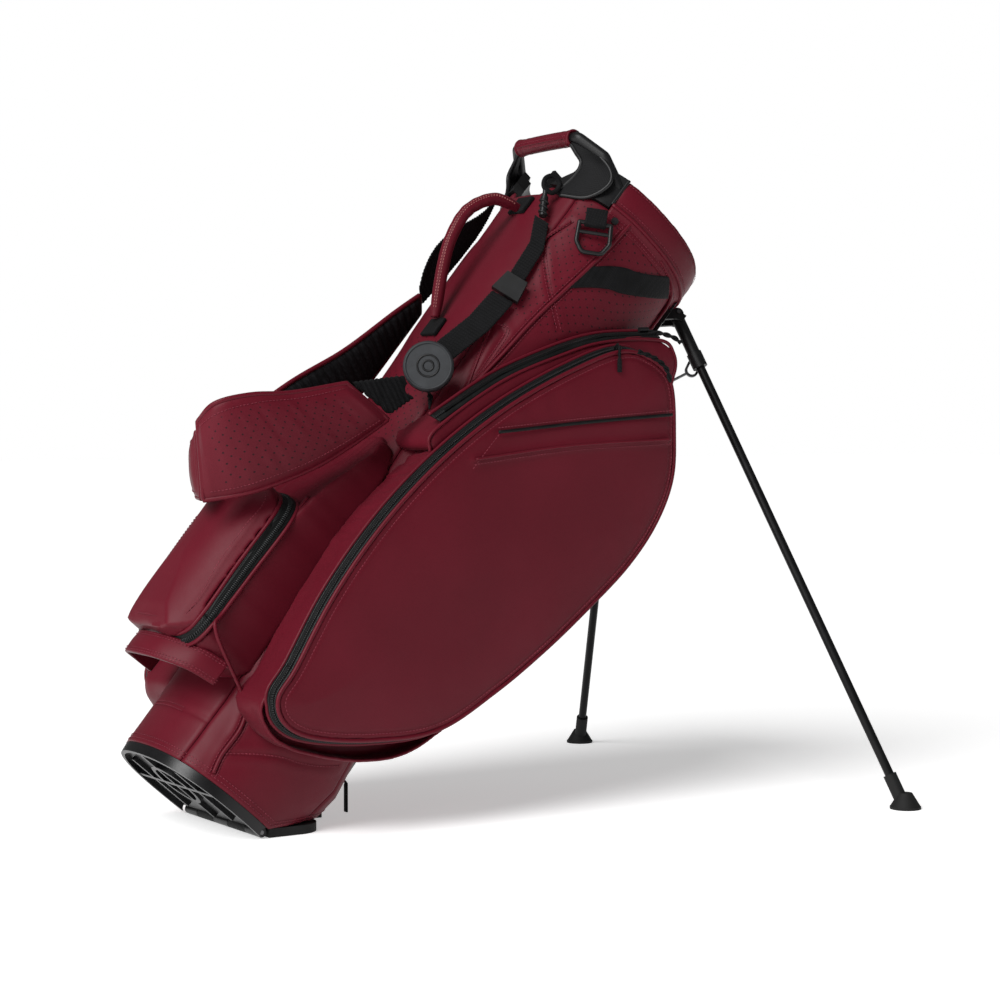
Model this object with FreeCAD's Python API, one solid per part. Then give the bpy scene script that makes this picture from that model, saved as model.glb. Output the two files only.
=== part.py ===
import FreeCAD, Part
import math
import os

# Golf stand bag, in millimetres.
# Every bag piece is drawn upright: z runs up the tube, +x is the leg side, -y is the strap side.
# The finished bag is then leaned over its hinged base flap, the way it stands on its legs.
# The row origin is the middle of the flap's sole, on the ground.

V = FreeCAD.Vector

# ---- driving dimensions ----
LEAN = 41.0             # lean of the tube from vertical, degrees
SOLE_EDGE_X = 43.0      # upright x of the line the bag leans over
SOLE_LENGTH = 80.0      # flap sole, rear edge to toe
SOLE_HALF_WIDTH = 98.0
FLAP_THICK = 10.0
TONGUE = 40.0           # the flap's tongue, under the foot of the actuator rod
TUBE = [                # z, centre x, half depth, half width of the tube's skin
    (0.0, 0.0, 97.0, 107.0),
    (60.0, 6.0, 106.0, 110.0),
    (95.0, 9.0, 110.0, 111.0),
    (150.0, 4.0, 108.0, 110.0),
    (260.0, -1.0, 104.0, 111.0),
    (400.0, -4.0, 106.0, 114.0),
    (650.0, -12.0, 113.0, 118.0),
    (830.0, -14.0, 114.0, 121.0),
    (900.0, -14.0, 114.0, 121.0),
]
ROUNDNESS = 2.4         # superellipse exponent of the tube's section
SKIN = 3.0              # foam-backed skin thickness
SEAM_HALF_DEG = 0.2     # half the gap left at each sewn seam
HEM_Z = 12.0            # bottom of the skin, above the black rim
SKIN_TOP_Z = 840.0
RIM_Z = 886.0           # top of the cuff
CUP_TOP_Z = 70.0
SEAM_REAR_DEG = 142.0   # seam between the spine panel and a side panel
SEAM_FRONT_DEG = 48.0   # seam between a side panel and the front panel
COVER_END_DEG = 120.0   # where the padded cuff cover meets the bare moulding
POCKET_FACE_Y = 172.0
POCKET_ZIP_Y = 153.5
CHANNEL_Y = 118.0       # the folded legs lie between the side pockets
ZIP_ARC_CENTRE = (599.0, 310.0)
ZIP_ARC_RADIUS = 698.0
LEG_PIVOT = V(110.0, 54.0, 844.0)
LEG_LENGTH = 669.25
LEG_SPREAD = 57.0       # swing from folded to spread, degrees
LEG_AXIS_DEG = 30.3     # hinge axis, turned this far from y towards x
TUBE_R = 5.5
SLEEVE_R = 8.0
PIN_R = 2.5
RUNNING = 0.05          # radial clearance of a running fit
KNOB_R = 2.2
LINK_DROP = 64.0        # the link hooks the leg this far below its pivot
LINK_OUT = 14.5         # and this far to the inner side of it
ROD_X = 107.0           # at the crosshead; the rod leans out towards its foot
ROD_FOOT_X = 124.0
ROD_Y = 22.0
ROD_R = 2.0
ROD_TOP_Z = 653.0
ROD_FOOT_Z = 84.0
GAP = 0.5               # air left between soft neighbours


# ---- frames ----
def lean(shape):
    """Turn an upright shape into the row frame."""
    leaned = shape.copy()
    leaned.rotate(V(SOLE_EDGE_X, 0, 0), V(0, 1, 0), LEAN)
    leaned.translate(V(-SOLE_EDGE_X - SOLE_LENGTH / 2, 0, 0))
    return leaned


def mirror(shape):
    return shape.mirror(V(0, 0, 0), V(0, 1, 0))


def up_in_bag():
    """The row's vertical, seen in the upright frame."""
    return V(-math.sin(math.radians(LEAN)), 0, math.cos(math.radians(LEAN)))


# ---- section helpers ----
def section(z):
    """Centre x, half depth and half width of the tube at height z."""
    for low, high in zip(TUBE, TUBE[1:]):
        if z <= high[0]:
            share = (z - low[0]) / (high[0] - low[0])
            return [a + (b - a) * share for a, b in zip(low[1:], high[1:])]
    return list(TUBE[-1][1:])


def skin_point(z, degrees, offset=0.0):
    """A point on the tube's skin, moved outwards by offset."""
    centre, depth, width = section(z)
    c = math.cos(math.radians(degrees))
    s = math.sin(math.radians(degrees))
    power = 2.0 / ROUNDNESS
    x = centre + (depth + offset) * math.copysign(abs(c) ** power, c)
    y = (width + offset) * math.copysign(abs(s) ** power, s)
    return V(x, y, z)


def spline_edge(points):
    curve = Part.BSplineCurve()
    curve.interpolate(points)
    return curve.toShape()


def closed_spline(points):
    curve = Part.BSplineCurve()
    curve.interpolate(points, PeriodicFlag=True)
    return Part.Wire(curve.toShape())


def skin_ring(z, offset):
    """The whole tube section at height z as one closed wire."""
    step = 15
    return closed_spline([skin_point(z, a, offset) for a in range(0, 360, step)])


def between(shape, z_low, z_high):
    """Keep what lies between two heights."""
    reach = 400.0
    return shape.common(block((-reach, -reach, z_low), (reach, reach, z_high)))


def tube_body(z_low, z_high, offset):
    """The tube's outline as a solid bar, between two heights."""
    whole = Part.makeLoft([skin_ring(row[0], offset) for row in TUBE], True, False)
    return between(whole, z_low, z_high)


def curved_slab(z, start, end, outer, inner):
    """A closed wire: an arc of the tube's wall at height z."""
    count = max(4, int(abs(end - start) / 10))
    angles = [start + (end - start) * i / count for i in range(count + 1)]
    outside = [skin_point(z, a, outer) for a in angles]
    inside = [skin_point(z, a, inner) for a in reversed(angles)]
    edges = [
        spline_edge(outside),
        Part.LineSegment(outside[-1], inside[0]).toShape(),
        spline_edge(inside),
        Part.LineSegment(inside[-1], outside[0]).toShape(),
    ]
    return Part.Wire(edges)


def wall(levels, start, end):
    """A curved wall lofted through levels of (z, outer offset, inner offset)."""
    wires = [curved_slab(z, start, end, outer, inner) for z, outer, inner in levels]
    return Part.makeLoft(wires, True, False)


def prism(points, axis, start, length, smooth=False):
    """Extrude an outline. The points are (x, z) for axis y, and (y, z) for axis x."""
    if axis == "y":
        corners = [V(a, start, b) for a, b in points]
        sweep = V(0, length, 0)
    else:
        corners = [V(start, a, b) for a, b in points]
        sweep = V(length, 0, 0)
    if smooth:
        wire = closed_spline(corners)
    else:
        wire = Part.makePolygon(corners + corners[:1])
    return Part.Face(wire).extrude(sweep)


def inset(points, distance):
    """Move a closed outline inwards along its normals. The outline runs clockwise."""
    moved = []
    count = len(points)
    for i, (a, b) in enumerate(points):
        before = points[i - 1]
        after = points[(i + 1) % count]
        da = after[0] - before[0]
        db = after[1] - before[1]
        size = math.hypot(da, db)
        moved.append((a + distance * db / size, b - distance * da / size))
    return moved


def rounded_path(points, radius):
    """A wire of straight runs joined by tangent arcs."""
    edges = []
    start = points[0]
    for before, corner, after in zip(points, points[1:], points[2:]):
        back = (before - corner).normalize()
        ahead = (after - corner).normalize()
        half = back.getAngle(ahead) / 2
        reach = radius / math.tan(half)
        first = corner + back * reach
        last = corner + ahead * reach
        middle = (back + ahead).normalize()
        mid = corner + middle * (radius / math.sin(half) - radius)
        edges.append(Part.LineSegment(start, first).toShape())
        edges.append(Part.Arc(first, mid, last).toShape())
        start = last
    edges.append(Part.LineSegment(start, points[-1]).toShape())
    return Part.Wire(edges)


def pipe(points, radius, bend):
    """A round bar along straight runs and arcs."""
    path = rounded_path(points, bend)
    heading = points[1] - points[0]
    ring = Part.Wire(Part.makeCircle(radius, points[0], heading))
    return path.makePipeShell([ring], True, False)


def rod(start, end, radius):
    heading = end - start
    return Part.makeCylinder(radius, heading.Length, start, heading)


def ribbon(stations, thick, ruled=False):
    """A strap lofted through (top edge point, bottom edge point) stations."""
    wires = []
    middles = [(top + low) * 0.5 for top, low in stations]
    for i, (top, low) in enumerate(stations):
        before = middles[max(i - 1, 0)]
        after = middles[min(i + 1, len(middles) - 1)]
        face = (after - before).cross(top - low).normalize() * (thick / 2)
        corners = [top + face, low + face, low - face, top - face]
        wires.append(Part.makePolygon(corners + corners[:1]))
    return Part.makeLoft(wires, True, ruled)


def block(low, high):
    return Part.makeBox(high[0] - low[0], high[1] - low[1], high[2] - low[2], V(*low))


def fuse(shapes):
    joined = shapes[0].fuse(shapes[1:]) if len(shapes) > 1 else shapes[0]
    return joined.removeSplitter()


# ---- base ----
def above_flap(clear):
    """A tall half-space above the flap: everything that stays clear of it."""
    reach = 1200.0
    space = block((-reach, -reach, FLAP_THICK + clear), (reach, reach, reach))
    space.translate(V(SOLE_EDGE_X, 0, 0))
    space.rotate(V(SOLE_EDGE_X, 0, 0), V(0, 1, 0), -LEAN)
    return space


def flap_axis():
    """The flap's hinge line sits as far above the ground as above the base's bottom."""
    height = 6.0
    x = SOLE_EDGE_X - height * (1 - math.cos(math.radians(LEAN))) / math.sin(math.radians(LEAN))
    return V(x, 0, height)


def keep_off_flap(shape, clear):
    """Cut away the wedge that the flap and its hinge need, in front of the hinge line."""
    reach = 400.0
    wedge = block((flap_axis().x, -reach, -reach), (reach, reach, reach)).cut(above_flap(clear))
    return shape.cut(wedge)


def base_ribs():
    """The recessed underside: a frame of ribs and a raised ring."""
    depth = 6.0
    low = 1.0
    rib = 2.5
    ribs = [
        block((-92, -rib, low), (28, rib, depth)),
        block((-34 - rib, -98, low), (-34 + rib, 98, depth)),
        block((-70, -60, low), (20, -60 + 2 * rib, depth)),
        block((-70, 60 - 2 * rib, low), (20, 60, depth)),
    ]
    ring = Part.makeCylinder(34, depth - low, V(-34, 0, low))
    ring = ring.cut(Part.makeCylinder(28, depth, V(-34, 0, low)))
    return ribs + [ring]


def along_hinge(start, end, radius):
    """A round bar on the flap's hinge line."""
    axis = flap_axis()
    return Part.makeCylinder(radius, end - start, V(axis.x, start, axis.z), V(0, 1, 0))


HINGE_HALF = 94.0
CUP_KNUCKLES = [(-HINGE_HALF, -62), (-18, 18), (62, HINGE_HALF)]
FLAP_KNUCKLES = [(-61, -19), (19, 61)]
KNUCKLE_R = 5.5


def base_cup():
    """The moulded base: a rim, an inner wall inside the skin, a ribbed floor and hinge lugs."""
    rim = tube_body(0, HEM_Z - GAP, 0).cut(tube_body(-1, HEM_Z, -5))
    inner_wall = tube_body(6, CUP_TOP_Z, -SKIN - GAP).cut(tube_body(5, CUP_TOP_Z + 1, -SKIN - 3.5))
    floor = tube_body(6, 10, -4)
    cup = fuse([floor, rim, inner_wall] + base_ribs())
    cup = keep_off_flap(cup, 1.0).cut(along_hinge(-130, 130, KNUCKLE_R + 1))
    hinge_x = flap_axis().x
    for start, end in CUP_KNUCKLES:
        lug = along_hinge(start, end, KNUCKLE_R)
        arm = block((20, start, 6), (hinge_x, end, 10))
        cup = cup.fuse([lug, arm])
    return cup.cut(along_hinge(-130, 130, PIN_R)).removeSplitter()


def flap_hinge_pin():
    return along_hinge(-HINGE_HALF, HINGE_HALF, PIN_R - 0.02)


def lay_down(shape):
    """Turn a shape drawn flat on the ground, behind x = 0, into the upright frame."""
    laid = shape.copy()
    laid.translate(V(SOLE_EDGE_X, 0, 0))
    laid.rotate(V(SOLE_EDGE_X, 0, 0), V(0, 1, 0), -LEAN)
    return laid


def base_flap():
    """The hinged foot, flat on the ground, with grooves across its sole and a tongue at its toe."""
    corner = 30.0
    rear = 9.5
    half = SOLE_HALF_WIDTH
    tongue_half = 14.0
    plate = block((rear, -half, 0), (SOLE_LENGTH, half, FLAP_THICK))
    corners = []
    for edge in plate.Edges:
        box = edge.BoundBox
        if box.XMin > SOLE_LENGTH - 1 and box.ZLength > FLAP_THICK - 1:
            corners.append(edge)
    plate = plate.makeFillet(corner, corners)
    tongue = block((SOLE_LENGTH - 1, -tongue_half, 0), (SOLE_LENGTH + TONGUE, tongue_half, FLAP_THICK - 3))
    plate = plate.fuse(tongue)
    for x in (18, 30, 42, 54):
        plate = plate.cut(block((x, -half + 14, -1), (x + 3, half - 14, 2)))
    parts = []
    for start, end in FLAP_KNUCKLES:
        parts.append(along_hinge(start, end, KNUCKLE_R))
        parts.append(lay_down(block((0, start, FLAP_THICK / 2 - 3), (rear + 3, end, FLAP_THICK / 2 + 3))))
    flap = lay_down(plate).fuse(parts)
    return flap.cut(along_hinge(-130, 130, PIN_R + RUNNING)).removeSplitter()


# ---- tube ----
def skin_panel(start, end):
    """One sewn panel of the tube's skin, clear of the base flap."""
    levels = [(row[0], 0.0, -SKIN) for row in TUBE]
    whole = wall(levels, start + SEAM_HALF_DEG, end - SEAM_HALF_DEG)
    return keep_off_flap(between(whole, HEM_Z, SKIN_TOP_Z), 1.5)


def tube_stays():
    """Two glass-fibre rods that hold the cuff up from the base cup."""
    radius = 3.0
    stays = []
    for side in (-1, 1):
        foot = skin_point(CUP_TOP_Z, side * 100, -SKIN - 9)
        head = skin_point(795, side * 100, -SKIN - 9)
        stays.append(rod(foot, head, radius))
    return Part.makeCompound(stays)


DIVIDER_BARS = [-48.0, 26.0]


def divider_frame(z_low, z_high, thick, offset):
    """Two cross bars and one long bar, trimmed to the inside of the tube."""
    reach = 140.0
    half = thick / 2
    bars = [block((x - half, -reach, z_low), (x + half, reach, z_high)) for x in DIVIDER_BARS]
    bars.append(block((-reach, -half, z_low), (reach, half, z_high)))
    frame = bars[0].fuse(bars[1:])
    return frame.common(tube_body(z_low - 1, z_high + 1, offset)).removeSplitter()


def top_divider():
    return divider_frame(856, 880, 6.0, -9.3)


def full_length_dividers():
    """Fabric sheets under the divider's bars, from the mouth to the base."""
    low, high = 76, 855
    half = 0.8
    reach = 140
    inside = keep_off_flap(tube_body(low, high, -16.0), 2.0)
    cuts = [-reach] + DIVIDER_BARS + [reach]
    sheets = [block((x - half, -reach, low), (x + half, reach, high)) for x in DIVIDER_BARS]
    for start, end in zip(cuts, cuts[1:]):
        sheets.append(block((start + 2 * half, -half, low), (end - 2 * half, half, high)))
    return Part.makeCompound([biggest(sheet.common(inside)) for sheet in sheets])


# ---- cuff ----
def scoop():
    """The dip in the mouth at the spine side, under the lift handle."""
    half = 62.0
    low = 828.0
    high = RIM_Z + 20
    outline = [
        (-half, low + 36), (-half + 34, low), (half - 34, low),
        (half, low + 36), (half + 12, high), (-half - 12, high),
    ]
    return prism(outline, "x", -180, 110)


def cuff_collar():
    """The moulded ring in the mouth. It is bare, and scooped, at the spine side."""
    ring = tube_body(796, RIM_Z - 6, -SKIN - GAP).cut(tube_body(790, RIM_Z, -9))
    bare = wall([(SKIN_TOP_Z + 1, 5, -4.5), (RIM_Z, 5, -4.5)], COVER_END_DEG, 360 - COVER_END_DEG)
    return fuse([ring, bare]).cut(scoop())


def cuff_cover():
    """The padded leather wrap round the front two thirds of the mouth."""
    end = COVER_END_DEG - 0.5
    levels = [(846, 4, -3), (858, 6, -3), (874, 6, -3), (RIM_Z, 3, -3)]
    return wall(levels, -end, end)


HANDLE_X = -148.0
HANDLE_Z = 898.0
HANDLE_HALF = 66.0


def handle_path():
    return [
        V(-80, -105, 872),
        V(-116, -92, 893),
        V(HANDLE_X, -HANDLE_HALF, HANDLE_Z),
        V(HANDLE_X, HANDLE_HALF, HANDLE_Z),
        V(-116, 92, 893),
        V(-80, 105, 872),
    ]


def lift_handle():
    """The moulded carry loop that bridges the scoop."""
    points = handle_path()
    bar = pipe(points, 7.0, 9.0)
    return biggest(bar.cut(cuff_collar()))


def lift_grip():
    half = HANDLE_HALF - 9
    outer = rod(V(HANDLE_X, -half, HANDLE_Z), V(HANDLE_X, half, HANDLE_Z), 10.0)
    return outer.cut(rod(V(HANDLE_X, -90, HANDLE_Z), V(HANDLE_X, 90, HANDLE_Z), 7.2))


def snap_studs():
    studs = []
    for side in (-1, 1):
        spot = skin_point(832, side * 112, 0.3)
        out = skin_point(832, side * 112, 4.0)
        studs.append(rod(spot, spot + (out - spot).normalize() * 3.5, 4.5))
    return Part.makeCompound(studs)


BALL_SIDES = [           # the ball pocket's outline on the spine, as (y, z), clockwise
    (-82, 140), (-84, 250), (-82, 360), (-70, 440), (0, 452), (70, 440), (82, 360),
    (84, 250), (82, 140), (62, 116), (0, 114), (-62, 116),
]


# ---- side pockets ----
def zip_arc(z):
    """x of the long zip edge at height z."""
    dz = z - ZIP_ARC_CENTRE[1]
    return ZIP_ARC_CENTRE[0] - math.sqrt(ZIP_ARC_RADIUS ** 2 - dz ** 2)


def pocket_outline():
    """The leaf-shaped face of a side pocket, as (x, z), clockwise from its foot."""
    edge = [(zip_arc(z), z) for z in (150, 230, 310, 390, 470, 550, 630, 690)]
    rest = [
        (48, 713), (92, 714), (140, 668), (171, 626), (186, 572), (187, 510), (176, 440),
        (160, 364), (137, 284), (105, 207), (48, 150), (-14, 107), (-52, 97), (-76, 112),
    ]
    return edge + rest


def gusset_outline():
    """The gusset follows the face, and sags below it at the foot."""
    edge = inset(pocket_outline(), 1.0)
    sag = [(117, 212), (93, 162), (55, 128), (5, 98), (-40, 85), (-76, 100)]
    return edge[:-5] + sag


def side_pocket_body():
    """Gusset and back of a side pocket, wrapped round the tube."""
    outline = gusset_outline()
    outer = prism(outline, "y", -POCKET_ZIP_Y + GAP, POCKET_ZIP_Y - 60, smooth=True)
    hollow = prism(inset(outline, 4.0), "y", -POCKET_ZIP_Y - 1, POCKET_ZIP_Y - 125, smooth=True)
    channel = block((84, -CHANNEL_Y, 0), (300, 0, 900))
    beside_ball = prism(inset(BALL_SIDES, -2 * GAP), "x", -230, 175, smooth=True)
    body = outer.cut(hollow).cut(tube_body(0, 900, GAP)).cut(channel).cut(beside_ball)
    return biggest(body)


def side_pocket_zip():
    """The zip tape that runs round the edge of the face."""
    start = -POCKET_FACE_Y + 5
    outer = prism(pocket_outline(), "y", start, -POCKET_ZIP_Y - start, smooth=True)
    inner = prism(inset(pocket_outline(), 8.0), "y", -POCKET_FACE_Y, 30, smooth=True)
    return outer.cut(inner)


def side_pocket_face():
    outline = inset(pocket_outline(), 1.5)
    return prism(outline, "y", -POCKET_FACE_Y, 4.5, smooth=True)


def valuables_outline():
    return [
        (-104, 470), (-74, 566), (-32, 645), (4, 698), (62, 754), (88, 756), (104, 738),
        (106, 700), (30, 660), (-20, 590), (-60, 520), (-84, 452), (-98, 448),
    ]


VALUABLES_FACE_Y = 146.0


def valuables_pocket():
    """The stepped pocket above the side pocket."""
    outer = prism(valuables_outline(), "y", -VALUABLES_FACE_Y, VALUABLES_FACE_Y - 60, smooth=True)
    inside = prism(inset(pocket_outline(), -3.5), "y", -220, 200, smooth=True)
    channel = block((84, -CHANNEL_Y, 0), (300, 0, 900))
    body = outer.cut(inside).cut(tube_body(0, 900, GAP)).cut(channel)
    return biggest(body)


def valuables_zip():
    """A coated zip tape along the upper edge of the valuables pocket."""
    edge = [(-107, 492), (-77, 575), (-36, 650), (0, 703), (56, 757)]
    outer = [(a - 3.2, b + 2.2) for a, b in edge]
    inner = [(a - 0.9, b + 0.7) for a, b in reversed(edge)]
    band = prism(outer + inner, "y", -VALUABLES_FACE_Y + 4, 15)
    keep = prism(inset(valuables_outline(), -0.3), "y", -VALUABLES_FACE_Y, 40, smooth=True)
    return biggest(band.cut(keep))


def biggest(shape):
    return max(shape.Solids, key=lambda solid: solid.Volume)


# ---- ball pocket ----
def ball_outline(grow):
    """Rounded outline of the ball pocket, as (y, z)."""
    half = 74.0 + grow
    top = 318.0 + grow
    low = 116.0 - grow
    return [
        (-half, 150), (-half - 1, 220), (-half, 290), (-half + 22, top - 4), (0, top),
        (half - 22, top - 4), (half, 290), (half + 1, 220), (half, 150), (half - 16, low + 7),
        (0, low), (-half + 16, low + 7),
    ]


def ball_profile(points):
    return prism(points, "y", -120, 240)


def ball_pocket():
    """The pocket's side walls, faired into the spine at the top."""
    profile = [
        (-60, 114), (-140, 114), (-148, 122), (-150, 210), (-151, 300),
        (-142, 350), (-112, 452), (-60, 452),
    ]
    body = ball_profile(profile).common(prism(BALL_SIDES, "x", -230, 200, smooth=True))
    hollow = ball_profile([(-60, 120), (-190, 120), (-190, 312), (-60, 312)])
    hollow = hollow.common(prism(ball_outline(-2), "x", -230, 90, smooth=True))
    return biggest(body.cut(hollow).cut(tube_body(0, 900, GAP)))


def ball_zip():
    """The black zip gusset between the pocket's walls and its face."""
    profile = [
        (-142, 90), (-148.5, 122), (-150.5, 210), (-151.5, 300), (-152, 330),
        (-169, 330), (-168, 300), (-167, 210), (-163, 122), (-161, 90),
    ]
    ring = prism(ball_outline(0), "x", -230, 200, smooth=True)
    ring = ring.cut(prism(ball_outline(-7), "x", -230, 200, smooth=True))
    return biggest(ball_profile(profile).common(ring))


def ball_face():
    """The face panel, crowned across and along."""
    profile = [
        (-161.6, 90), (-163.6, 122), (-167.6, 210), (-168.6, 300), (-169.6, 330), (-184, 330),
        (-198, 300), (-203, 262), (-200, 200), (-191, 140), (-182, 116), (-176, 90),
    ]
    crown = rod(V(-102, 0, 60), V(-108, 0, 360), 96.0)
    rounded = prism(ball_outline(1), "x", -230, 200, smooth=True)
    return ball_profile(profile).common(rounded).common(crown)


# ---- handles, rings and loops ----
def base_handle():
    """A leather grab strap across the bottom of the spine."""
    route = [(-104, -80), (-142, -68), (-168, -36), (-176, 0), (-168, 36), (-142, 68), (-104, 80)]
    stations = [(V(x, y, 112), V(x, y, 83)) for x, y in route]
    return ribbon(stations, 5.0).cut(tube_body(0, 200, GAP))


SIDE_HANDLE_Y = -10.0


def side_handle(grow=0.0):
    """The rolled leather carry handle on the spine."""
    radius = 8.0
    route = [(-131, 798), (-162, 788), (-183, 744), (-163, 676), (-131, 622)]
    return pipe([V(x, SIDE_HANDLE_Y, z) for x, z in route], radius + grow, 20.0)


def side_handle_tabs():
    """The two black anchor tabs under the ends of the side handle."""
    tabs = []
    for z in (808, 612):
        x = skin_point(z, 180).x
        tab = block((x - 5, SIDE_HANDLE_Y - 16, z - 13), (x + 8, SIDE_HANDLE_Y + 16, z + 13))
        tabs.append(biggest(tab.cut(tube_body(500, 900, GAP)).cut(side_handle(grow=0.4))))
    return Part.makeCompound(tabs)


def elastic_band():
    """The elastic band across the near side panel."""
    wires = []
    low = (-111.0, 743.0)
    high = (-56.0, 832.0)
    count = 6
    for i in range(count + 1):
        share = i / count
        angle = low[0] + (high[0] - low[0]) * share
        z = low[1] + (high[1] - low[1]) * share
        corners = [
            skin_point(z - 12, angle, 0.6), skin_point(z + 12, angle, 0.6),
            skin_point(z + 12, angle, 2.6), skin_point(z - 12, angle, 2.6),
        ]
        wires.append(Part.makePolygon(corners + corners[:1]))
    return Part.makeLoft(wires, True, False)


RING_CENTRE = V(-83.0, -114.0, 811.0)
RING_ALONG = V(0.737, -0.513, 0.440)
RING_DOWN = V(0.496, -0.18, -0.849)
RING_R = 2.7
RING_HALF = 20.0


def ring_axes():
    """Along the bar, down the ring, and in towards the bag."""
    along = V(RING_ALONG).normalize()
    inward = along.cross(RING_DOWN).normalize()
    down = inward.cross(along).normalize()
    return along, down, inward


def towel_ring():
    """A D ring with a cross bar."""
    along, down, _ = ring_axes()
    half = RING_HALF
    top = RING_CENTRE
    corners = [
        top - along * (half - 1),
        top - along * half + down * 24,
        top - along * 12 + down * 37,
        top + along * 12 + down * 37,
        top + along * half + down * 24,
        top + along * (half - 1),
    ]
    hoop = pipe(corners, RING_R, 8.0)
    bar = rod(corners[0], corners[-1], RING_R)
    cross_bar = rod(top - along * half + down * 12, top + along * half + down * 12, 2.2)
    ends = [Part.makeSphere(RING_R, corners[0]), Part.makeSphere(RING_R, corners[-1])]
    return hoop.fuse([bar, cross_bar] + ends).removeSplitter()


def ring_tab():
    """The folded webbing tab that holds the ring."""
    along, down, inward = ring_axes()
    half = 13.0
    radius = RING_R + 0.1
    loop = rod(RING_CENTRE - along * half, RING_CENTRE + along * half, RING_R + 2.4)
    bore = rod(RING_CENTRE - along * 30, RING_CENTRE + along * 30, radius)
    start = RING_CENTRE - along * half - inward * (RING_R + 2.2)
    corners = [start, start + along * 2 * half, start + along * 2 * half - down * 18, start - down * 18]
    sheet = Part.Face(Part.makePolygon(corners + corners[:1])).extrude(inward * 2.4)
    return loop.fuse(sheet).cut(bore).cut(tube_body(700, 900, GAP)).removeSplitter()


# ---- shoulder strap ----
NEAR_PAD = [            # upper and lower edge of the pad at each station
    (V(-206, -100, 448), V(-139, -100, 453)),
    (V(-249, -97, 396), V(-157, -97, 394)),
    (V(-285, -94, 361), V(-176, -94, 346)),
    (V(-306, -82, 330), V(-208, -82, 288)),
    (V(-298, -52, 311), V(-236, -52, 250)),
]
FAR_PAD = [
    (V(-284, -30, 308), V(-231, -30, 256)),
    (V(-268, 6, 314), V(-224, 6, 266)),
    (V(-248, 44, 324), V(-209, 46, 298)),
    (V(-224, 60, 372), V(-160, 66, 352)),
    (V(-197, 64, 462), V(-118, 82, 446)),
    (V(-167, 66, 540), V(-108, 88, 530)),
    (V(-144, 70, 622), V(-107, 92, 612)),
    (V(-131, 72, 664), V(-108, 92, 656)),
]
PAD_THICK = 15.0
HUB = V(-137.0, -97.0, 535.0)
HUB_OUT = V(-0.50, -0.82, -0.28)


def hub_disc(radius, start, length):
    out = V(HUB_OUT).normalize()
    return Part.makeCylinder(radius, length, HUB + out * start, out)


def near_shoulder_pad():
    return ribbon(NEAR_PAD, PAD_THICK)


def far_shoulder_pad():
    return ribbon(FAR_PAD, PAD_THICK)


def strap_yoke():
    """The neoprene web between the near pad and the hub."""
    stations = [
        (V(-201, -100, 454), V(-141, -100, 459)),
        (V(-176, -97, 482), V(-133, -97, 482)),
        (V(-152, -94, 508), V(-126, -94, 500)),
    ]
    return ribbon(stations, 7.0).cut(hub_disc(40, -9, 24))


def hub_base():
    return hub_disc(29.0, -6.0, 6.0)


def hub_cap():
    cap = hub_disc(29.0, 0.3, 8.0)
    rings = [edge for edge in cap.Edges if isinstance(edge.Curve, Part.Circle)]
    rim = max(rings, key=lambda edge: edge.CenterOfMass.distanceToPoint(HUB))
    return cap.makeFillet(2.5, [rim])


def across_strap(points, width):
    """Stations for webbing that lies along the spine-side corner."""
    wide = V(0.80, -0.60, 0.0).normalize() * (width / 2)
    return [(p - wide, p + wide) for p in points]


def near_webbing():
    """Wide webbing below the slide buckle, narrow webbing above it, and the hub's short tail."""
    wide = [V(-128, -84, 566), V(-116, -90, 622), V(-112, -90, 668)]
    narrow = [V(-112, -89, 700), V(-114, -85, 748), V(-124, -72, 784)]
    tail = [
        (V(-118, -86, 520), V(-106, -96, 500)),
        (V(-107, -92, 515), V(-103, -98, 498)),
    ]
    strips = [
        ribbon(across_strap(wide, 30.0), 2.4, ruled=True),
        ribbon(across_strap(narrow, 20.0), 2.2, ruled=True),
        ribbon(tail, 2.4).cut(tube_body(400, 700, GAP)).cut(hub_disc(34, -8, 20)),
    ]
    return Part.makeCompound([biggest(strip) for strip in strips])


def ladder_lock():
    """The slide buckle between the two webbings."""
    wide = V(0.80, -0.60, 0.0).normalize()
    out = V(-0.60, -0.80, 0.0)
    middle = V(-111, -90, 684)
    outline = [(-18, -14), (18, -14), (14, 14), (-14, 14)]
    corners = [middle + wide * a + V(0, 0, b) - out * 3 for a, b in outline]
    return Part.Face(Part.makePolygon(corners + corners[:1])).extrude(out * 8)


HOOK_FOOT = V(-125, -71, 788)
HOOK_HEAD = V(-134, -62, 812)
HOOK_TIP = V(-141, -58, 827)


def strap_hook():
    """The snap hook that clips to the cuff loop."""
    body = rod(HOOK_FOOT, HOOK_HEAD, 4.5)
    nose = rod(HOOK_HEAD, HOOK_TIP, 3.0)
    return body.fuse(nose).removeSplitter()


def cuff_strap_loop():
    """The webbing loop on the cuff that takes the snap hook."""
    stations = [
        (V(-148, -48, 820), V(-134, -72, 820)),
        (V(-142, -46, 836), V(-128, -70, 836)),
    ]
    loop = ribbon(stations, 3.0).cut(tube_body(700, 900, GAP + 5))
    return loop.cut(rod(HOOK_HEAD, HOOK_TIP + (HOOK_TIP - HOOK_HEAD), 3.6))


def far_webbing():
    """The far strap's webbing from the cuff to the far pad."""
    stations = [
        (V(-138, 60, 832), V(-122, 82, 832)),
        (V(-138, 62, 790), V(-117, 74, 786)),
        (V(-158, 56, 734), V(-117, 72, 730)),
        (V(-155, 60, 698), V(-117, 76, 692)),
        (V(-134, 76, 670), V(-112, 94, 666)),
    ]
    return ribbon(stations, 2.4).cut(tube_body(500, 900, GAP))


# ---- stand ----
def leg_axis(side):
    """The hinge axis of a leg in the upright frame. side is -1 near, 1 far."""
    a = math.radians(LEG_AXIS_DEG)
    return V(-side * math.sin(a), math.cos(a), 0)


def leg_pivot(side):
    return V(LEG_PIVOT.x, side * LEG_PIVOT.y, LEG_PIVOT.z)


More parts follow.
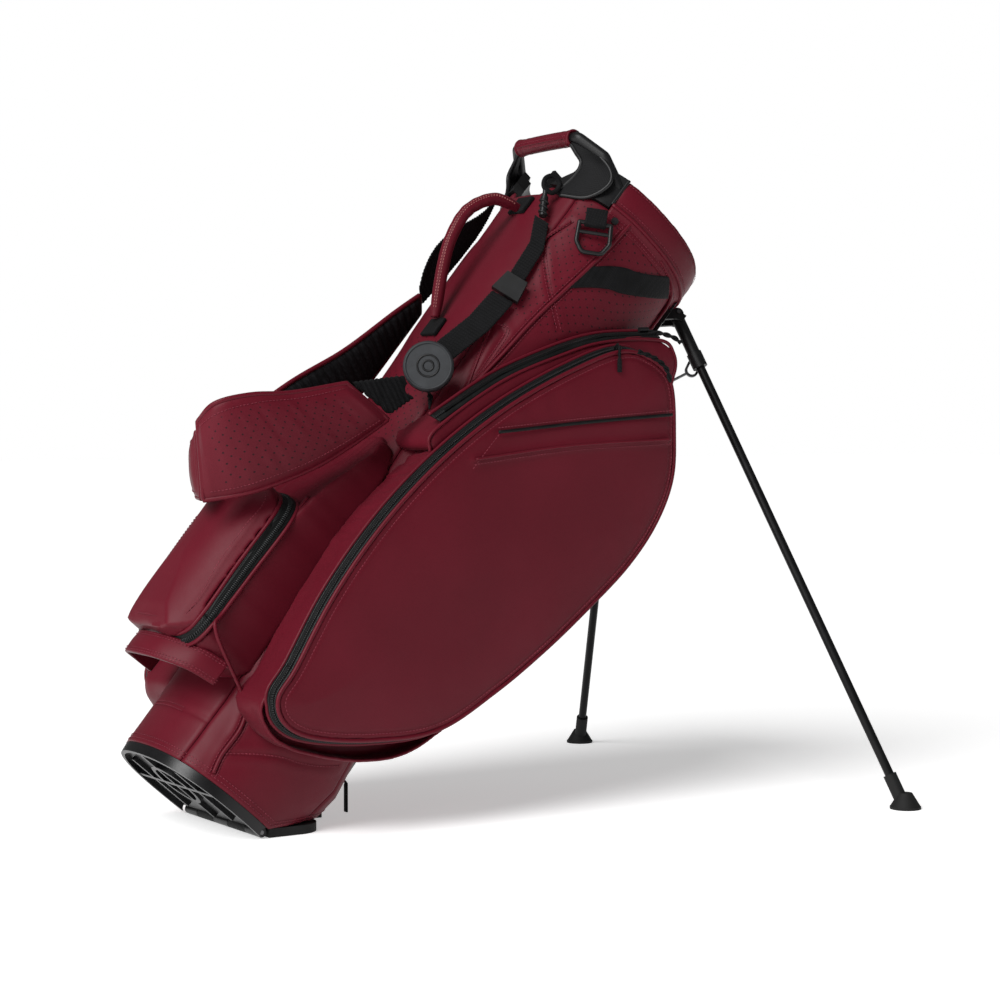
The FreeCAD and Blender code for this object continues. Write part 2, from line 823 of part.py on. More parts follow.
def leg_heading(side):
    """Unit vector down the spread leg, in the upright frame."""
    a = math.radians(LEG_AXIS_DEG)
    outward = V(math.cos(a), side * math.sin(a), 0)
    spread = math.radians(LEG_SPREAD)
    return outward * math.sin(spread) - V(0, 0, math.cos(spread))


def leg_point(side, down):
    return leg_pivot(side) + leg_heading(side) * down


def leg_bracket():
    """The plate under the cuff, with a clevis for each leg."""
    plate = wall([(782, 5, GAP), (843, 5, GAP)], -36, 36)
    parts = [plate]
    for side in (-1, 1):
        pivot = leg_pivot(side)
        axis = leg_axis(side)
        across = V(axis.y, -axis.x, 0)
        for ear_side in (-1, 1):
            centre = pivot + axis * (ear_side * 11.5)
            corners = [
                centre + across * 11 + V(0, 0, 8), centre - across * 26 + V(0, 0, 8),
                centre - across * 26 - V(0, 0, 34), centre + across * 2 - V(0, 0, 10),
                centre + across * 11 - V(0, 0, 6),
            ]
            ear = Part.Face(Part.makePolygon(corners + corners[:1])).extrude(axis * 4.0)
            ear.translate(axis * -2.0)
            parts.append(ear)
    bracket = parts[0].fuse(parts[1:])
    bracket = bracket.cut(tube_body(0, 900, GAP)).cut(block((-200, -200, 845.5), (300, 200, 900)))
    for side in (-1, 1):
        pivot = leg_pivot(side)
        axis = leg_axis(side)
        bracket = bracket.cut(rod(pivot - axis * 40, pivot + axis * 40, PIN_R))
    return biggest(bracket)


def leg_pins():
    pins = []
    for side in (-1, 1):
        pivot = leg_pivot(side)
        axis = leg_axis(side)
        pins.append(rod(pivot - axis * 15, pivot + axis * 15, PIN_R - 0.02))
    return Part.makeCompound(pins)


def leg_sleeve(side):
    """Pivot eye, sleeve and collar of one leg, in one moulding."""
    pivot = leg_pivot(side)
    axis = leg_axis(side)
    eye = rod(pivot - axis * 8.5, pivot + axis * 8.5, 7.5)
    sleeve = rod(leg_point(side, 0), leg_point(side, 56), SLEEVE_R)
    collar = rod(leg_point(side, 54), leg_point(side, 74), 9.5)
    body = eye.fuse([sleeve, collar])
    body = body.cut(rod(leg_point(side, 12), leg_point(side, 80), TUBE_R + 0.05))
    body = body.cut(rod(pivot - axis * 20, pivot + axis * 20, PIN_R + RUNNING))
    inward = axis * -side
    hook = leg_point(side, LINK_DROP)
    knob = rod(hook + inward * 9, hook + inward * (LINK_OUT + 4), KNOB_R)
    return body.fuse(knob).removeSplitter()


def ground_point(side):
    return leg_point(side, LEG_LENGTH)


def leg_tube(side):
    """An aluminium tube, open at its lower end inside the foot."""
    outer = rod(leg_point(side, 12.3), leg_point(side, LEG_LENGTH - 14), TUBE_R)
    inner = rod(leg_point(side, 14), leg_point(side, LEG_LENGTH - 10), TUBE_R - 1.2)
    return outer.cut(inner)


def leg_foot(side):
    """A flared rubber foot, flat on the ground."""
    up = up_in_bag()
    ground = ground_point(side)
    heel = Part.makeCylinder(18.5, 3.0, ground, up)
    flare = Part.makeCone(18.0, 8.0, 16.0, ground + up * 3.0, up)
    socket = rod(leg_point(side, LEG_LENGTH - 44), leg_point(side, LEG_LENGTH - 10), 8.0)
    foot = heel.fuse([flare, socket])
    return foot.cut(rod(leg_point(side, LEG_LENGTH - 60), leg_point(side, LEG_LENGTH - 13.5), TUBE_R + 0.05))


# ---- actuator ----
def rod_x(z):
    """The rod's x at height z. It leans out towards its foot."""
    share = (ROD_TOP_Z - z) / (ROD_TOP_Z - ROD_FOOT_Z)
    return ROD_X + (ROD_FOOT_X - ROD_X) * share


def rod_point(z, y):
    return V(rod_x(z), y, z)


def actuator_rod():
    """The U wire that the flap pushes, with its crosshead."""
    top = ROD_TOP_Z - 6
    points = [rod_point(top, -ROD_Y), rod_point(ROD_FOOT_Z, -ROD_Y)]
    points += [rod_point(ROD_FOOT_Z, ROD_Y), rod_point(top, ROD_Y)]
    wire = pipe(points, ROD_R, 9.0)
    head = block((ROD_X - 4, -ROD_Y - 5, ROD_TOP_Z - 14), (ROD_X + 4, ROD_Y + 5, ROD_TOP_Z - 4))
    return wire.fuse(head).removeSplitter()


def rod_guides():
    """Clips sewn to the front panel, each with two holes for the wire."""
    clips = []
    for z in (210, 380, 560):
        front = skin_point(z, 0).x
        x = rod_x(z)
        clip = block((front - 3, -ROD_Y - 9, z - 6), (x + 6, ROD_Y + 9, z + 6))
        clip = clip.cut(tube_body(0, 900, GAP))
        for side in (-1, 1):
            hole = rod(rod_point(z - 20, side * ROD_Y), rod_point(z + 20, side * ROD_Y), ROD_R + 0.08)
            clip = clip.cut(hole)
        clips.append(biggest(clip))
    return Part.makeCompound(clips)


def link_top(side):
    axis = leg_axis(side)
    return leg_point(side, LINK_DROP) + axis * -side * LINK_OUT


def link_eye(top, heading, axis):
    """A long flat eye. The knob sinks along it while the leg folds."""
    slot = 9.3
    thick = 3.0
    sink = V(0.17, 0, -1)
    along = (axis * sink.dot(axis) - sink).normalize()
    across = along.cross(axis)
    rings = []
    for radius in (8.5, 5.5):
        low = top - along * slot
        corners = [top + across * radius, top - across * radius, low - across * radius, low + across * radius]
        bar = Part.Face(Part.makePolygon(corners + corners[:1])).extrude(axis * thick)
        ends = [Part.makeCylinder(radius, thick, point, axis) for point in (top, low)]
        rings.append(bar.fuse(ends))
    eye = rings[0].cut(rings[1])
    eye.translate(axis * (-thick / 2))
    return eye, low - heading * 7


def link(side):
    """A stiff wire from the crosshead to the leg's collar."""
    foot = V(ROD_X, side * ROD_Y, ROD_TOP_Z + 1)
    top = link_top(side)
    eye, neck = link_eye(top, (top - foot).normalize(), leg_axis(side))
    return eye.fuse([rod(foot, neck, 1.7), Part.makeSphere(3.6, foot)]).removeSplitter()


# ---- zip sliders ----
def arc_point(degrees, radius, y):
    """A point on the side pocket's zip arc."""
    a = math.radians(degrees)
    return V(ZIP_ARC_CENTRE[0] - radius * math.cos(a), y, ZIP_ARC_CENTRE[1] + radius * math.sin(a))


SLIDER_DEG = 33.0


PULL_OUT = 10.0         # the pull hangs this far outside the arc
PULL_LENGTH = 34.0


def side_slider(side):
    """The zip slider, parked near the top of the arc, with a post for its pull."""
    y = -POCKET_FACE_Y + 11.5
    base = arc_point(SLIDER_DEG, ZIP_ARC_RADIUS + 4.5, y)
    tangent = arc_point(SLIDER_DEG + 90, 1.0, 0) - arc_point(SLIDER_DEG - 90, 1.0, 0)
    tangent = tangent.normalize()
    body = rod(base - tangent * 7, base + tangent * 7, 3.2)
    post = rod(base, arc_point(SLIDER_DEG, ZIP_ARC_RADIUS + PULL_OUT, -POCKET_FACE_Y - 0.8), 1.5)
    slider = body.fuse(post).removeSplitter()
    return slider if side < 0 else mirror(slider)


def side_pull():
    """A cord pull with a moulded end. It hangs straight down."""
    top = arc_point(SLIDER_DEG, ZIP_ARC_RADIUS + PULL_OUT, -POCKET_FACE_Y - 4.0)
    return rod(top, top - up_in_bag() * PULL_LENGTH, 2.6)


def front_pull():
    """A flat webbing tab that hangs from the front seam above the base."""
    half_width = 4.0
    length = 34.0
    top = V(129, -22, 126)
    low = top - up_in_bag() * length
    wide = V(0, half_width, 0)
    return ribbon([(top + wide, top - wide), (low + wide, low - wide)], 2.4)


def valuables_slider():
    """The slider at the top of the valuables zip."""
    low = V(0, 0, 703)
    high = V(56, 0, 757)
    along = (high - low).normalize()
    off = V(-along.z, 0, along.x) * 7.6
    base = low + along * 58 + off - V(0, VALUABLES_FACE_Y - 11, 0)
    return rod(base, base + along * 13, 3.0)


def ball_slider():
    """The slider at the foot of the ball pocket's zip."""
    return rod(V(-156, -26, 110.4), V(-156, -12, 110.4), 3.0)


def panels():
    rear = SEAM_REAR_DEG
    front = SEAM_FRONT_DEG
    return {
        "spine_panel": skin_panel(rear, 360 - rear).cut(scoop()),
        "near_side_panel": skin_panel(-rear, -front),
        "far_side_panel": skin_panel(front, rear),
        "front_panel": skin_panel(-front, front),
    }


def side_pockets():
    nodes = {}
    near_parts = {"pocket": side_pocket_body(), "zip": side_pocket_zip(), "face": side_pocket_face()}
    for name, near in near_parts.items():
        nodes["near_side_" + name] = near
        nodes["far_side_" + name] = mirror(near)
    return nodes


def stand():
    nodes = {"leg_bracket": leg_bracket(), "leg_pins": leg_pins()}
    for name, side in (("near", -1), ("far", 1)):
        nodes[name + "_leg_sleeve"] = leg_sleeve(side)
        nodes[name + "_leg_tube"] = leg_tube(side)
        nodes[name + "_leg_foot"] = leg_foot(side)
        nodes[name + "_link"] = link(side)
    nodes["actuator_rod"] = actuator_rod()
    nodes["rod_guides"] = rod_guides()
    return nodes


def all_nodes():
    nodes = {
        "base_cup": base_cup(),
        "base_flap": base_flap(),
        "flap_hinge_pin": flap_hinge_pin(),
        "tube_stays": tube_stays(),
        "top_divider": top_divider(),
        "full_length_dividers": full_length_dividers(),
        "cuff_collar": cuff_collar(),
        "cuff_cover": cuff_cover(),
        "lift_handle": lift_handle(),
        "lift_grip": lift_grip(),
        "snap_studs": snap_studs(),
        "valuables_pocket": valuables_pocket(),
        "valuables_zip": valuables_zip(),
        "ball_pocket": ball_pocket(),
        "ball_zip": ball_zip(),
        "ball_face": ball_face(),
        "base_handle": base_handle(),
        "side_handle": side_handle(),
        "side_handle_tabs": side_handle_tabs(),
        "elastic_band": elastic_band(),
        "towel_ring": towel_ring(),
        "ring_tab": ring_tab(),
        "near_shoulder_pad": near_shoulder_pad(),
        "far_shoulder_pad": far_shoulder_pad(),
        "strap_yoke": strap_yoke(),
        "hub_base": hub_base(),
        "hub_cap": hub_cap(),
        "near_webbing": near_webbing(),
        "ladder_lock": ladder_lock(),
        "strap_hook": strap_hook(),
        "cuff_strap_loop": cuff_strap_loop(),
        "far_webbing": far_webbing(),
        "near_zip_slider": side_slider(-1),
        "far_zip_slider": side_slider(1),
        "near_zip_pull": side_pull(),
        "front_pull": front_pull(),
        "valuables_slider": valuables_slider(),
        "ball_slider": ball_slider(),
    }
    nodes.update(panels())
    nodes.update(side_pockets())
    nodes.update(stand())
    return nodes


os.makedirs("parts", exist_ok=True)
for node, shape in all_nodes().items():
    lean(shape).exportStep(os.path.join("parts", node + ".step"))
    print(node, len(shape.Solids), shape.isValid(), round(shape.Volume / 1000, 1))
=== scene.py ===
import math

import bpy
import bmesh
import numpy as np
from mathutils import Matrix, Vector


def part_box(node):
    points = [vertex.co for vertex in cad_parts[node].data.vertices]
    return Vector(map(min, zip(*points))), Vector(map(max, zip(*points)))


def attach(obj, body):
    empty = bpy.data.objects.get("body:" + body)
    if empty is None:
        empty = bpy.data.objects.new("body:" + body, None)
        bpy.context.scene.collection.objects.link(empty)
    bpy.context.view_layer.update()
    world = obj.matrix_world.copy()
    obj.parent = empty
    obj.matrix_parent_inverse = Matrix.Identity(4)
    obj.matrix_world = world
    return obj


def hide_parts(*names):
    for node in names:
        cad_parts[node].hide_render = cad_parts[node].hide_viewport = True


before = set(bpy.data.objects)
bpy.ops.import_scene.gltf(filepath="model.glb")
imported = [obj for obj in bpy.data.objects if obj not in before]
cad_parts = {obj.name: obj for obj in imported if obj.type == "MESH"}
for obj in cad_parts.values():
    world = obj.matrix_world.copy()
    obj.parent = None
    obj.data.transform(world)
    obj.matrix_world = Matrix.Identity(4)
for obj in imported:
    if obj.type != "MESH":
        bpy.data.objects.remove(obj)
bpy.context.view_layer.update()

# Looks for the golf stand bag. Shapes are worked out in the bag's own upright frame, in millimetres:
# z up the tube, +x the leg side, -y the strap side. to_row() leans them over the base flap.
LEAN = math.radians(41)
SOLE_EDGE_X = 43.0
SOLE_MIDDLE = 40.0
TUBE = np.array([       # z, centre x, half depth, half width
    (0, 0, 97, 107), (60, 6, 106, 110), (95, 9, 110, 111), (150, 4, 108, 110), (260, -1, 104, 111),
    (400, -4, 106, 114), (650, -12, 113, 118), (830, -14, 114, 121), (900, -14, 114, 121),
], float)
FACE_OUTLINE_REST = [
    (48, 713), (92, 714), (140, 668), (171, 626), (186, 572), (187, 510), (176, 440),
    (160, 364), (137, 284), (105, 207), (48, 150), (-14, 107), (-52, 97), (-76, 112),
]


# ---------------------------------------------------------------- frames and paths
def unit(vectors):
    return vectors / np.linalg.norm(vectors, axis=-1, keepdims=True)


def full_turn(count):
    return np.linspace(0, 2 * math.pi, count, endpoint=False)


def run_along(path):
    """The distance along a path at each of its points."""
    return np.concatenate([[0], np.cumsum(np.linalg.norm(np.diff(path, axis=0), axis=1))])


def resampled(line, count):
    """A line's points interpolated to a given count, evenly by index."""
    at, old = np.linspace(0, 1, count), np.linspace(0, 1, len(line))
    return np.stack([np.interp(at, old, line[:, k]) for k in range(line.shape[1])], 1)


def to_row(points):
    p = np.asarray(points, float).reshape(-1, 3)
    c, s = math.cos(LEAN), math.sin(LEAN)
    x = (p[:, 0] - SOLE_EDGE_X) * c + p[:, 2] * s - SOLE_MIDDLE
    z = -(p[:, 0] - SOLE_EDGE_X) * s + p[:, 2] * c
    return np.stack([x, p[:, 1], z], 1) / 1000


def to_bag(points):
    p = np.asarray(points, float).reshape(-1, 3) * 1000
    c, s = math.cos(LEAN), math.sin(LEAN)
    x = (p[:, 0] + SOLE_MIDDLE) * c - p[:, 2] * s + SOLE_EDGE_X
    z = (p[:, 0] + SOLE_MIDDLE) * s + p[:, 2] * c
    return np.stack([x, p[:, 1], z], 1)


def skin(degrees, z, offset=0.0):
    """Points on the tube's skin, moved outwards by offset."""
    degrees, z, offset = np.broadcast_arrays(*(np.asarray(v, float) for v in (degrees, z, offset)))
    centre, depth, width = (np.interp(z, TUBE[:, 0], TUBE[:, k]) for k in (1, 2, 3))
    c, s = np.cos(np.radians(degrees)), np.sin(np.radians(degrees))
    power = 2 / 2.4
    x = centre + (depth + offset) * np.sign(c) * np.abs(c) ** power
    y = (width + offset) * np.sign(s) * np.abs(s) ** power
    return np.stack([x, y, z], -1)


def curve_through(points, step, closed=False):
    """A Catmull-Rom curve through the points, with even spacing."""
    p = np.asarray(points, float)
    if closed:
        q = np.vstack([p[-1], p, p[0], p[1]])
    else:
        q = np.vstack([2 * p[0] - p[1], p, 2 * p[-1] - p[-2]])
    t = np.linspace(0, 1, 24, endpoint=False)[:, None]
    rows = []
    for a, b, c, d in zip(q, q[1:], q[2:], q[3:]):
        bend, twist = 2 * a - 5 * b + 4 * c - d, 3 * b - a - 3 * c + d
        rows.append(0.5 * (2 * b + (c - a) * t + bend * t**2 + twist * t**3))
    if not closed:
        rows.append(p[-1:])
    return even(np.vstack(rows), step, closed)


def even(points, step, closed=False):
    if closed:
        points = np.vstack([points, points[:1]])
    run = run_along(points)
    count = max(3, int(round(run[-1] / step)) + 1)
    at = np.linspace(0, run[-1], count)
    out = np.stack([np.interp(at, run, points[:, k]) for k in range(points.shape[1])], 1)
    return out[:-1] if closed else out


def on_skin(path, offset, step=2.0):
    """A path of (degrees, z) laid on the tube."""
    flat = curve_through(path, 1.0)
    return even(skin(flat[:, 0], flat[:, 1], offset), step)


def side_outline(step=3.0, grow=0.0):
    """The leaf outline of a side pocket's face, as (x, z), grown outwards."""
    arc = [(599 - math.sqrt(698**2 - (z - 310) ** 2), z) for z in (150, 230, 310, 390, 470, 550, 630, 690)]
    ring = curve_through(arc + FACE_OUTLINE_REST, step, closed=True)
    return grown(ring, grow)


def leaning(normal):
    """How far the zip band leans back, 0 to 1, from outward (x, z) directions: rear side and foot."""
    rear = np.clip(normal @ np.array([-0.85, 0.52]), 0, 1) ** 0.5
    foot = np.clip(normal @ np.array([0.47, -0.88]), 0, 1) ** 0.5
    return np.maximum(rear, 0.8 * foot)


def slanted(step, grow, flare):
    """The face outline, flared outwards where the zip band leans back."""
    ring = side_outline(step)
    normal = ring_normals(ring)
    return ring + normal * (grow + flare * leaning(normal))[:, None]


def ring_normals(ring):
    """Outward directions along a closed clockwise (a, b) ring."""
    ahead = np.roll(ring, -1, 0) - np.roll(ring, 1, 0)
    return unit(np.stack([-ahead[:, 1], ahead[:, 0]], 1))


def grown(ring, distance):
    """Offset a closed clockwise (a, b) ring outwards."""
    return ring + ring_normals(ring) * distance


def lift(flat, y):
    """(x, z) points put at a given y."""
    flat = np.asarray(flat, float)
    return np.stack([flat[:, 0], np.full(len(flat), float(y)), flat[:, 1]], 1)


def noise2(u, v, size, seed):
    """Smooth value noise from -1 to 1."""
    table = np.random.default_rng(seed).uniform(-1, 1, (64, 64))
    x, y = np.asarray(u) / size, np.asarray(v) / size
    i, j = np.floor(x).astype(int), np.floor(y).astype(int)
    fx, fy = x - i, y - j
    fx, fy = fx * fx * (3 - 2 * fx), fy * fy * (3 - 2 * fy)
    low = table[i % 64, j % 64] * (1 - fx) + table[(i + 1) % 64, j % 64] * fx
    high = table[i % 64, (j + 1) % 64] * (1 - fx) + table[(i + 1) % 64, (j + 1) % 64] * fx
    return low * (1 - fy) + high * fy


def distance_to(u, v, path):
    """Distance from points (u, v) to a polyline."""
    best = np.full(np.shape(u), 1e9)
    for (a, b), (c, d) in zip(path, path[1:]):
        du, dv = c - a, d - b
        t = np.clip(((u - a) * du + (v - b) * dv) / (du * du + dv * dv), 0, 1)
        best = np.minimum(best, np.hypot(u - a - t * du, v - b - t * dv))
    return best


# ---------------------------------------------------------------- meshes
def make(name, points, faces, material, body="bag", uv=None, marks=None, slot=None):
    """A smooth-shaded mesh piece. points are in the bag frame, in millimetres."""
    mesh = bpy.data.meshes.new(name)
    mesh.from_pydata(to_row(points).tolist(), [], [tuple(int(i) for i in f) for f in faces])
    work = bmesh.new()
    work.from_mesh(mesh)
    bmesh.ops.recalc_face_normals(work, faces=work.faces)
    work.to_mesh(mesh)
    work.free()
    return dress(bpy.data.objects.new(name, mesh), material, body, uv, marks)


def dress(obj, material, body, uv=None, marks=None):
    """Link a new piece, give it its finish and coordinates, and let it ride on a body."""
    mesh = obj.data
    if obj.name not in bpy.context.scene.collection.objects:
        bpy.context.scene.collection.objects.link(obj)
    mesh.materials.clear()
    mesh.materials.append(material)
    mesh.polygons.foreach_set("use_smooth", np.ones(len(mesh.polygons), bool))
    loops = np.zeros(len(mesh.loops), int)
    mesh.loops.foreach_get("vertex_index", loops)
    if uv is not None:
        layer = mesh.uv_layers.new(name="UVMap")
        layer.data.foreach_set("uv", np.asarray(uv, float)[loops].ravel())
    if marks is not None:
        layer = mesh.attributes.new("holes", "FLOAT", "POINT")
        layer.data.foreach_set("value", np.asarray(marks, float))
    mesh.update()
    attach(obj, body)
    return obj


def grid_faces(nu, nv, wrap_u=False, wrap_v=False):
    index = np.arange(nu * nv).reshape(nu, nv)
    if wrap_u:
        index = np.vstack([index, index[:1]])
    if wrap_v:
        index = np.hstack([index, index[:, :1]])
    quads = np.stack([index[:-1, :-1], index[1:, :-1], index[1:, 1:], index[:-1, 1:]], -1)
    return quads.reshape(-1, 4).tolist()


def shell(name, outer, inner, material, uv=None, marks=None, **where):
    """A closed sheet with an outer and an inner grid of points."""
    nu, nv = outer.shape[:2]
    size = nu * nv
    faces = grid_faces(nu, nv)
    faces += [[a + size, d + size, c + size, b + size] for a, b, c, d in faces]
    index = np.arange(size).reshape(nu, nv)
    edge = list(index[:, 0]) + list(index[-1, 1:]) + list(index[-2::-1, -1]) + list(index[0, -2:0:-1])
    faces += [[b, a, a + size, b + size] for a, b in zip(edge, edge[1:] + edge[:1])]
    points = np.vstack([outer.reshape(-1, 3), inner.reshape(-1, 3)])
    if uv is not None:
        uv = np.vstack([uv.reshape(-1, 2)] * 2)
    if marks is not None:
        marks = np.concatenate([marks.ravel(), np.zeros(size)])
    return make(name, points, faces, material, uv=uv, marks=marks, **where)


def joined(rings):
    """Closed rings side by side as a grid for shell()."""
    return np.stack([np.vstack([ring, ring[:1]]) for ring in rings], 1)


def frames_along(path, closed, up=None):
    """Tangent and two side directions along a path."""
    if closed:
        ahead = np.roll(path, -1, 0) - np.roll(path, 1, 0)
    else:
        ahead = np.gradient(path, axis=0)
    ahead /= np.linalg.norm(ahead, axis=1)[:, None] + 1e-12
    if up is None:
        first = np.cross(ahead[0], [0.3, 0.5, 0.8])
        sides = [first / np.linalg.norm(first)]
        for t in ahead[1:]:
            s = sides[-1] - t * (sides[-1] @ t)
            sides.append(s / np.linalg.norm(s))
        side = np.array(sides)
    else:
        side = np.cross(ahead, up)
        side /= np.linalg.norm(side, axis=1)[:, None] + 1e-12
    return ahead, side, np.cross(side, ahead)


def tube(name, path, radius, material, closed=False, sides=10, up=None, flat=1.0, **where):
    """A bar along a path. flat below 1 thins it along its own rise, which leans towards up."""
    path = np.asarray(path, float)
    _, side, rise = frames_along(path, closed, up)
    turn = full_turn(sides)
    ring = side[:, None] * np.cos(turn)[None, :, None] + rise[:, None] * np.sin(turn)[None, :, None] * flat
    reach = np.broadcast_to(np.asarray(radius, float), (len(path),))
    points = path[:, None] + ring * reach[:, None, None]
    faces = grid_faces(len(path), sides, wrap_u=closed, wrap_v=True)
    if not closed:
        faces += [list(range(sides)), list(range((len(path) - 1) * sides, len(path) * sides))]
    run = run_along(path)
    u = np.repeat(run, sides)
    v = np.tile(turn * float(np.mean(reach)), len(path))
    return make(name, points.reshape(-1, 3), faces, material, uv=np.stack([u, v], 1), **where)


def dashes(name, paths, material, length=3.0, gap=1.3, radius=0.42, **where):
    """Sewing thread: one small bead for each stitch along the paths."""
    points, faces = [], []
    rings = ((-0.5, 0.25), (-0.3, 1.0), (0.3, 1.0), (0.5, 0.25))
    turn = full_turn(6)
    for path in paths:
        spots = even(np.asarray(path, float), length + gap)
        ahead, side, rise = frames_along(spots, False)
        base = grid_faces(4, 6, wrap_v=True) + [list(range(6)), list(range(18, 24))]
        for spot, t, s, r in zip(spots, ahead, side, rise):
            start = len(points)
            for along, wide in rings:
                for angle in turn:
                    spoke = s * math.cos(angle) + r * math.sin(angle)
                    points.append(spot + t * along * length + spoke * radius * wide)
            faces += [[i + start for i in f] for f in base]
    return make(name, np.array(points), faces, material, **where)


def teeth(name, path, out, material, closed=False, pitch=2.3, wide=5.0, **where):
    """A zip's coil: a row of rounded wires across a path. out is the direction that the zip faces."""
    spots = np.asarray(path, float)
    out = np.broadcast_to(np.asarray(out, float), spots.shape)
    ahead, side, rise = frames_along(spots, closed, out)
    turn = full_turn(6)
    points, faces = [], []
    base = grid_faces(5, 6, wrap_v=True) + [list(range(6)), list(range(24, 30))]
    for k, (spot, t, s, r) in enumerate(zip(spots, ahead, side, rise)):
        start = len(points)
        for share, drop in ((-0.5, 0.6), (-0.34, 0.1), (0, -0.35), (0.34, 0.1), (0.5, 0.6)):
            centre = spot + s * share * wide - r * drop
            for angle in turn:
                points.append(centre + (t * math.cos(angle) + r * math.sin(angle)) * pitch * 0.36)
        faces += [[i + start for i in f] for f in base]
    return make(name, np.array(points), faces, material, **where)


def soften(node, name, voxel, material, push=None, smooth=6, body="bag", uv=None):
    """A sewn version of a CAD solid: even mesh, eased edges, and creases from push(points, normals)."""
    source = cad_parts[node]
    obj = bpy.data.objects.new(name, source.data.copy())
    bpy.context.scene.collection.objects.link(obj)
    grid = obj.modifiers.new("even", "REMESH")
    grid.mode = "VOXEL"
    grid.voxel_size = (voxel * 1.0) / 1000
    ease = obj.modifiers.new("ease", "SMOOTH")
    ease.iterations = smooth
    ease.factor = 0.5
    bpy.context.view_layer.update()
    mesh = bpy.data.meshes.new_from_object(obj.evaluated_get(bpy.context.evaluated_depsgraph_get()))
    obj.modifiers.clear()
    obj.data = mesh
    mesh.name = name
    count = len(mesh.vertices)
    place = np.zeros(count * 3)
    mesh.vertices.foreach_get("co", place)
    points = to_bag(place)
    if push is not None:
        normal = np.zeros(count * 3)
        mesh.vertices.foreach_get("normal", normal)
        turned = to_bag(place.reshape(-1, 3) + normal.reshape(-1, 3) * 0.001) - points
        points = push(points, turned)
        mesh.vertices.foreach_set("co", to_row(points).ravel())
    flat = uv(points) if uv else points[:, [0, 2]]
    dress(obj, material, body, flat)
    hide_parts(node)
    return obj


# ---------------------------------------------------------------- materials
def new_material(name):
    material = bpy.data.materials.new(name)
    material.use_nodes = True
    tree = material.node_tree
    tree.nodes.clear()
    out = tree.nodes.new("ShaderNodeOutputMaterial")
    shader = tree.nodes.new("ShaderNodeBsdfPrincipled")
    tree.links.new(shader.outputs[0], out.inputs[0])
    return material, tree, shader


def texture(tree, kind, scale, vector, **values):
    node = tree.nodes.new("ShaderNodeTex" + kind)
    for key, value in values.items():
        if key in node.inputs:
            node.inputs[key].default_value = value
        else:
            setattr(node, key, value)
    node.inputs["Scale"].default_value = scale
    tree.links.new(vector, node.inputs["Vector"])
    return node


def maths(tree, operation, a, b=None, c=None):
    node = tree.nodes.new("ShaderNodeMath")
    node.operation = operation
    for socket, value in zip(node.inputs, (a, b, c)):
        if value is None:
            continue
        if isinstance(value, (int, float)):
            socket.default_value = value
        else:
            tree.links.new(value, socket)
    return node.outputs[0]


def ramp(tree, value, stops):
    node = tree.nodes.new("ShaderNodeValToRGB")
    while len(node.color_ramp.elements) < len(stops):
        node.color_ramp.elements.new(0.5)
    for element, (spot, colour) in zip(node.color_ramp.elements, stops):
        element.position = spot
        element.color = (*colour, 1) if len(colour) == 3 else (colour[0],) * 3 + (1,)
    tree.links.new(value, node.inputs[0])
    return node.outputs[0]


def bump(tree, shader, height, strength, distance):
    node = tree.nodes.new("ShaderNodeBump")
    node.inputs["Strength"].default_value = strength
    node.inputs["Distance"].default_value = distance
    tree.links.new(height, node.inputs["Height"])
    tree.links.new(node.outputs[0], shader.inputs["Normal"])


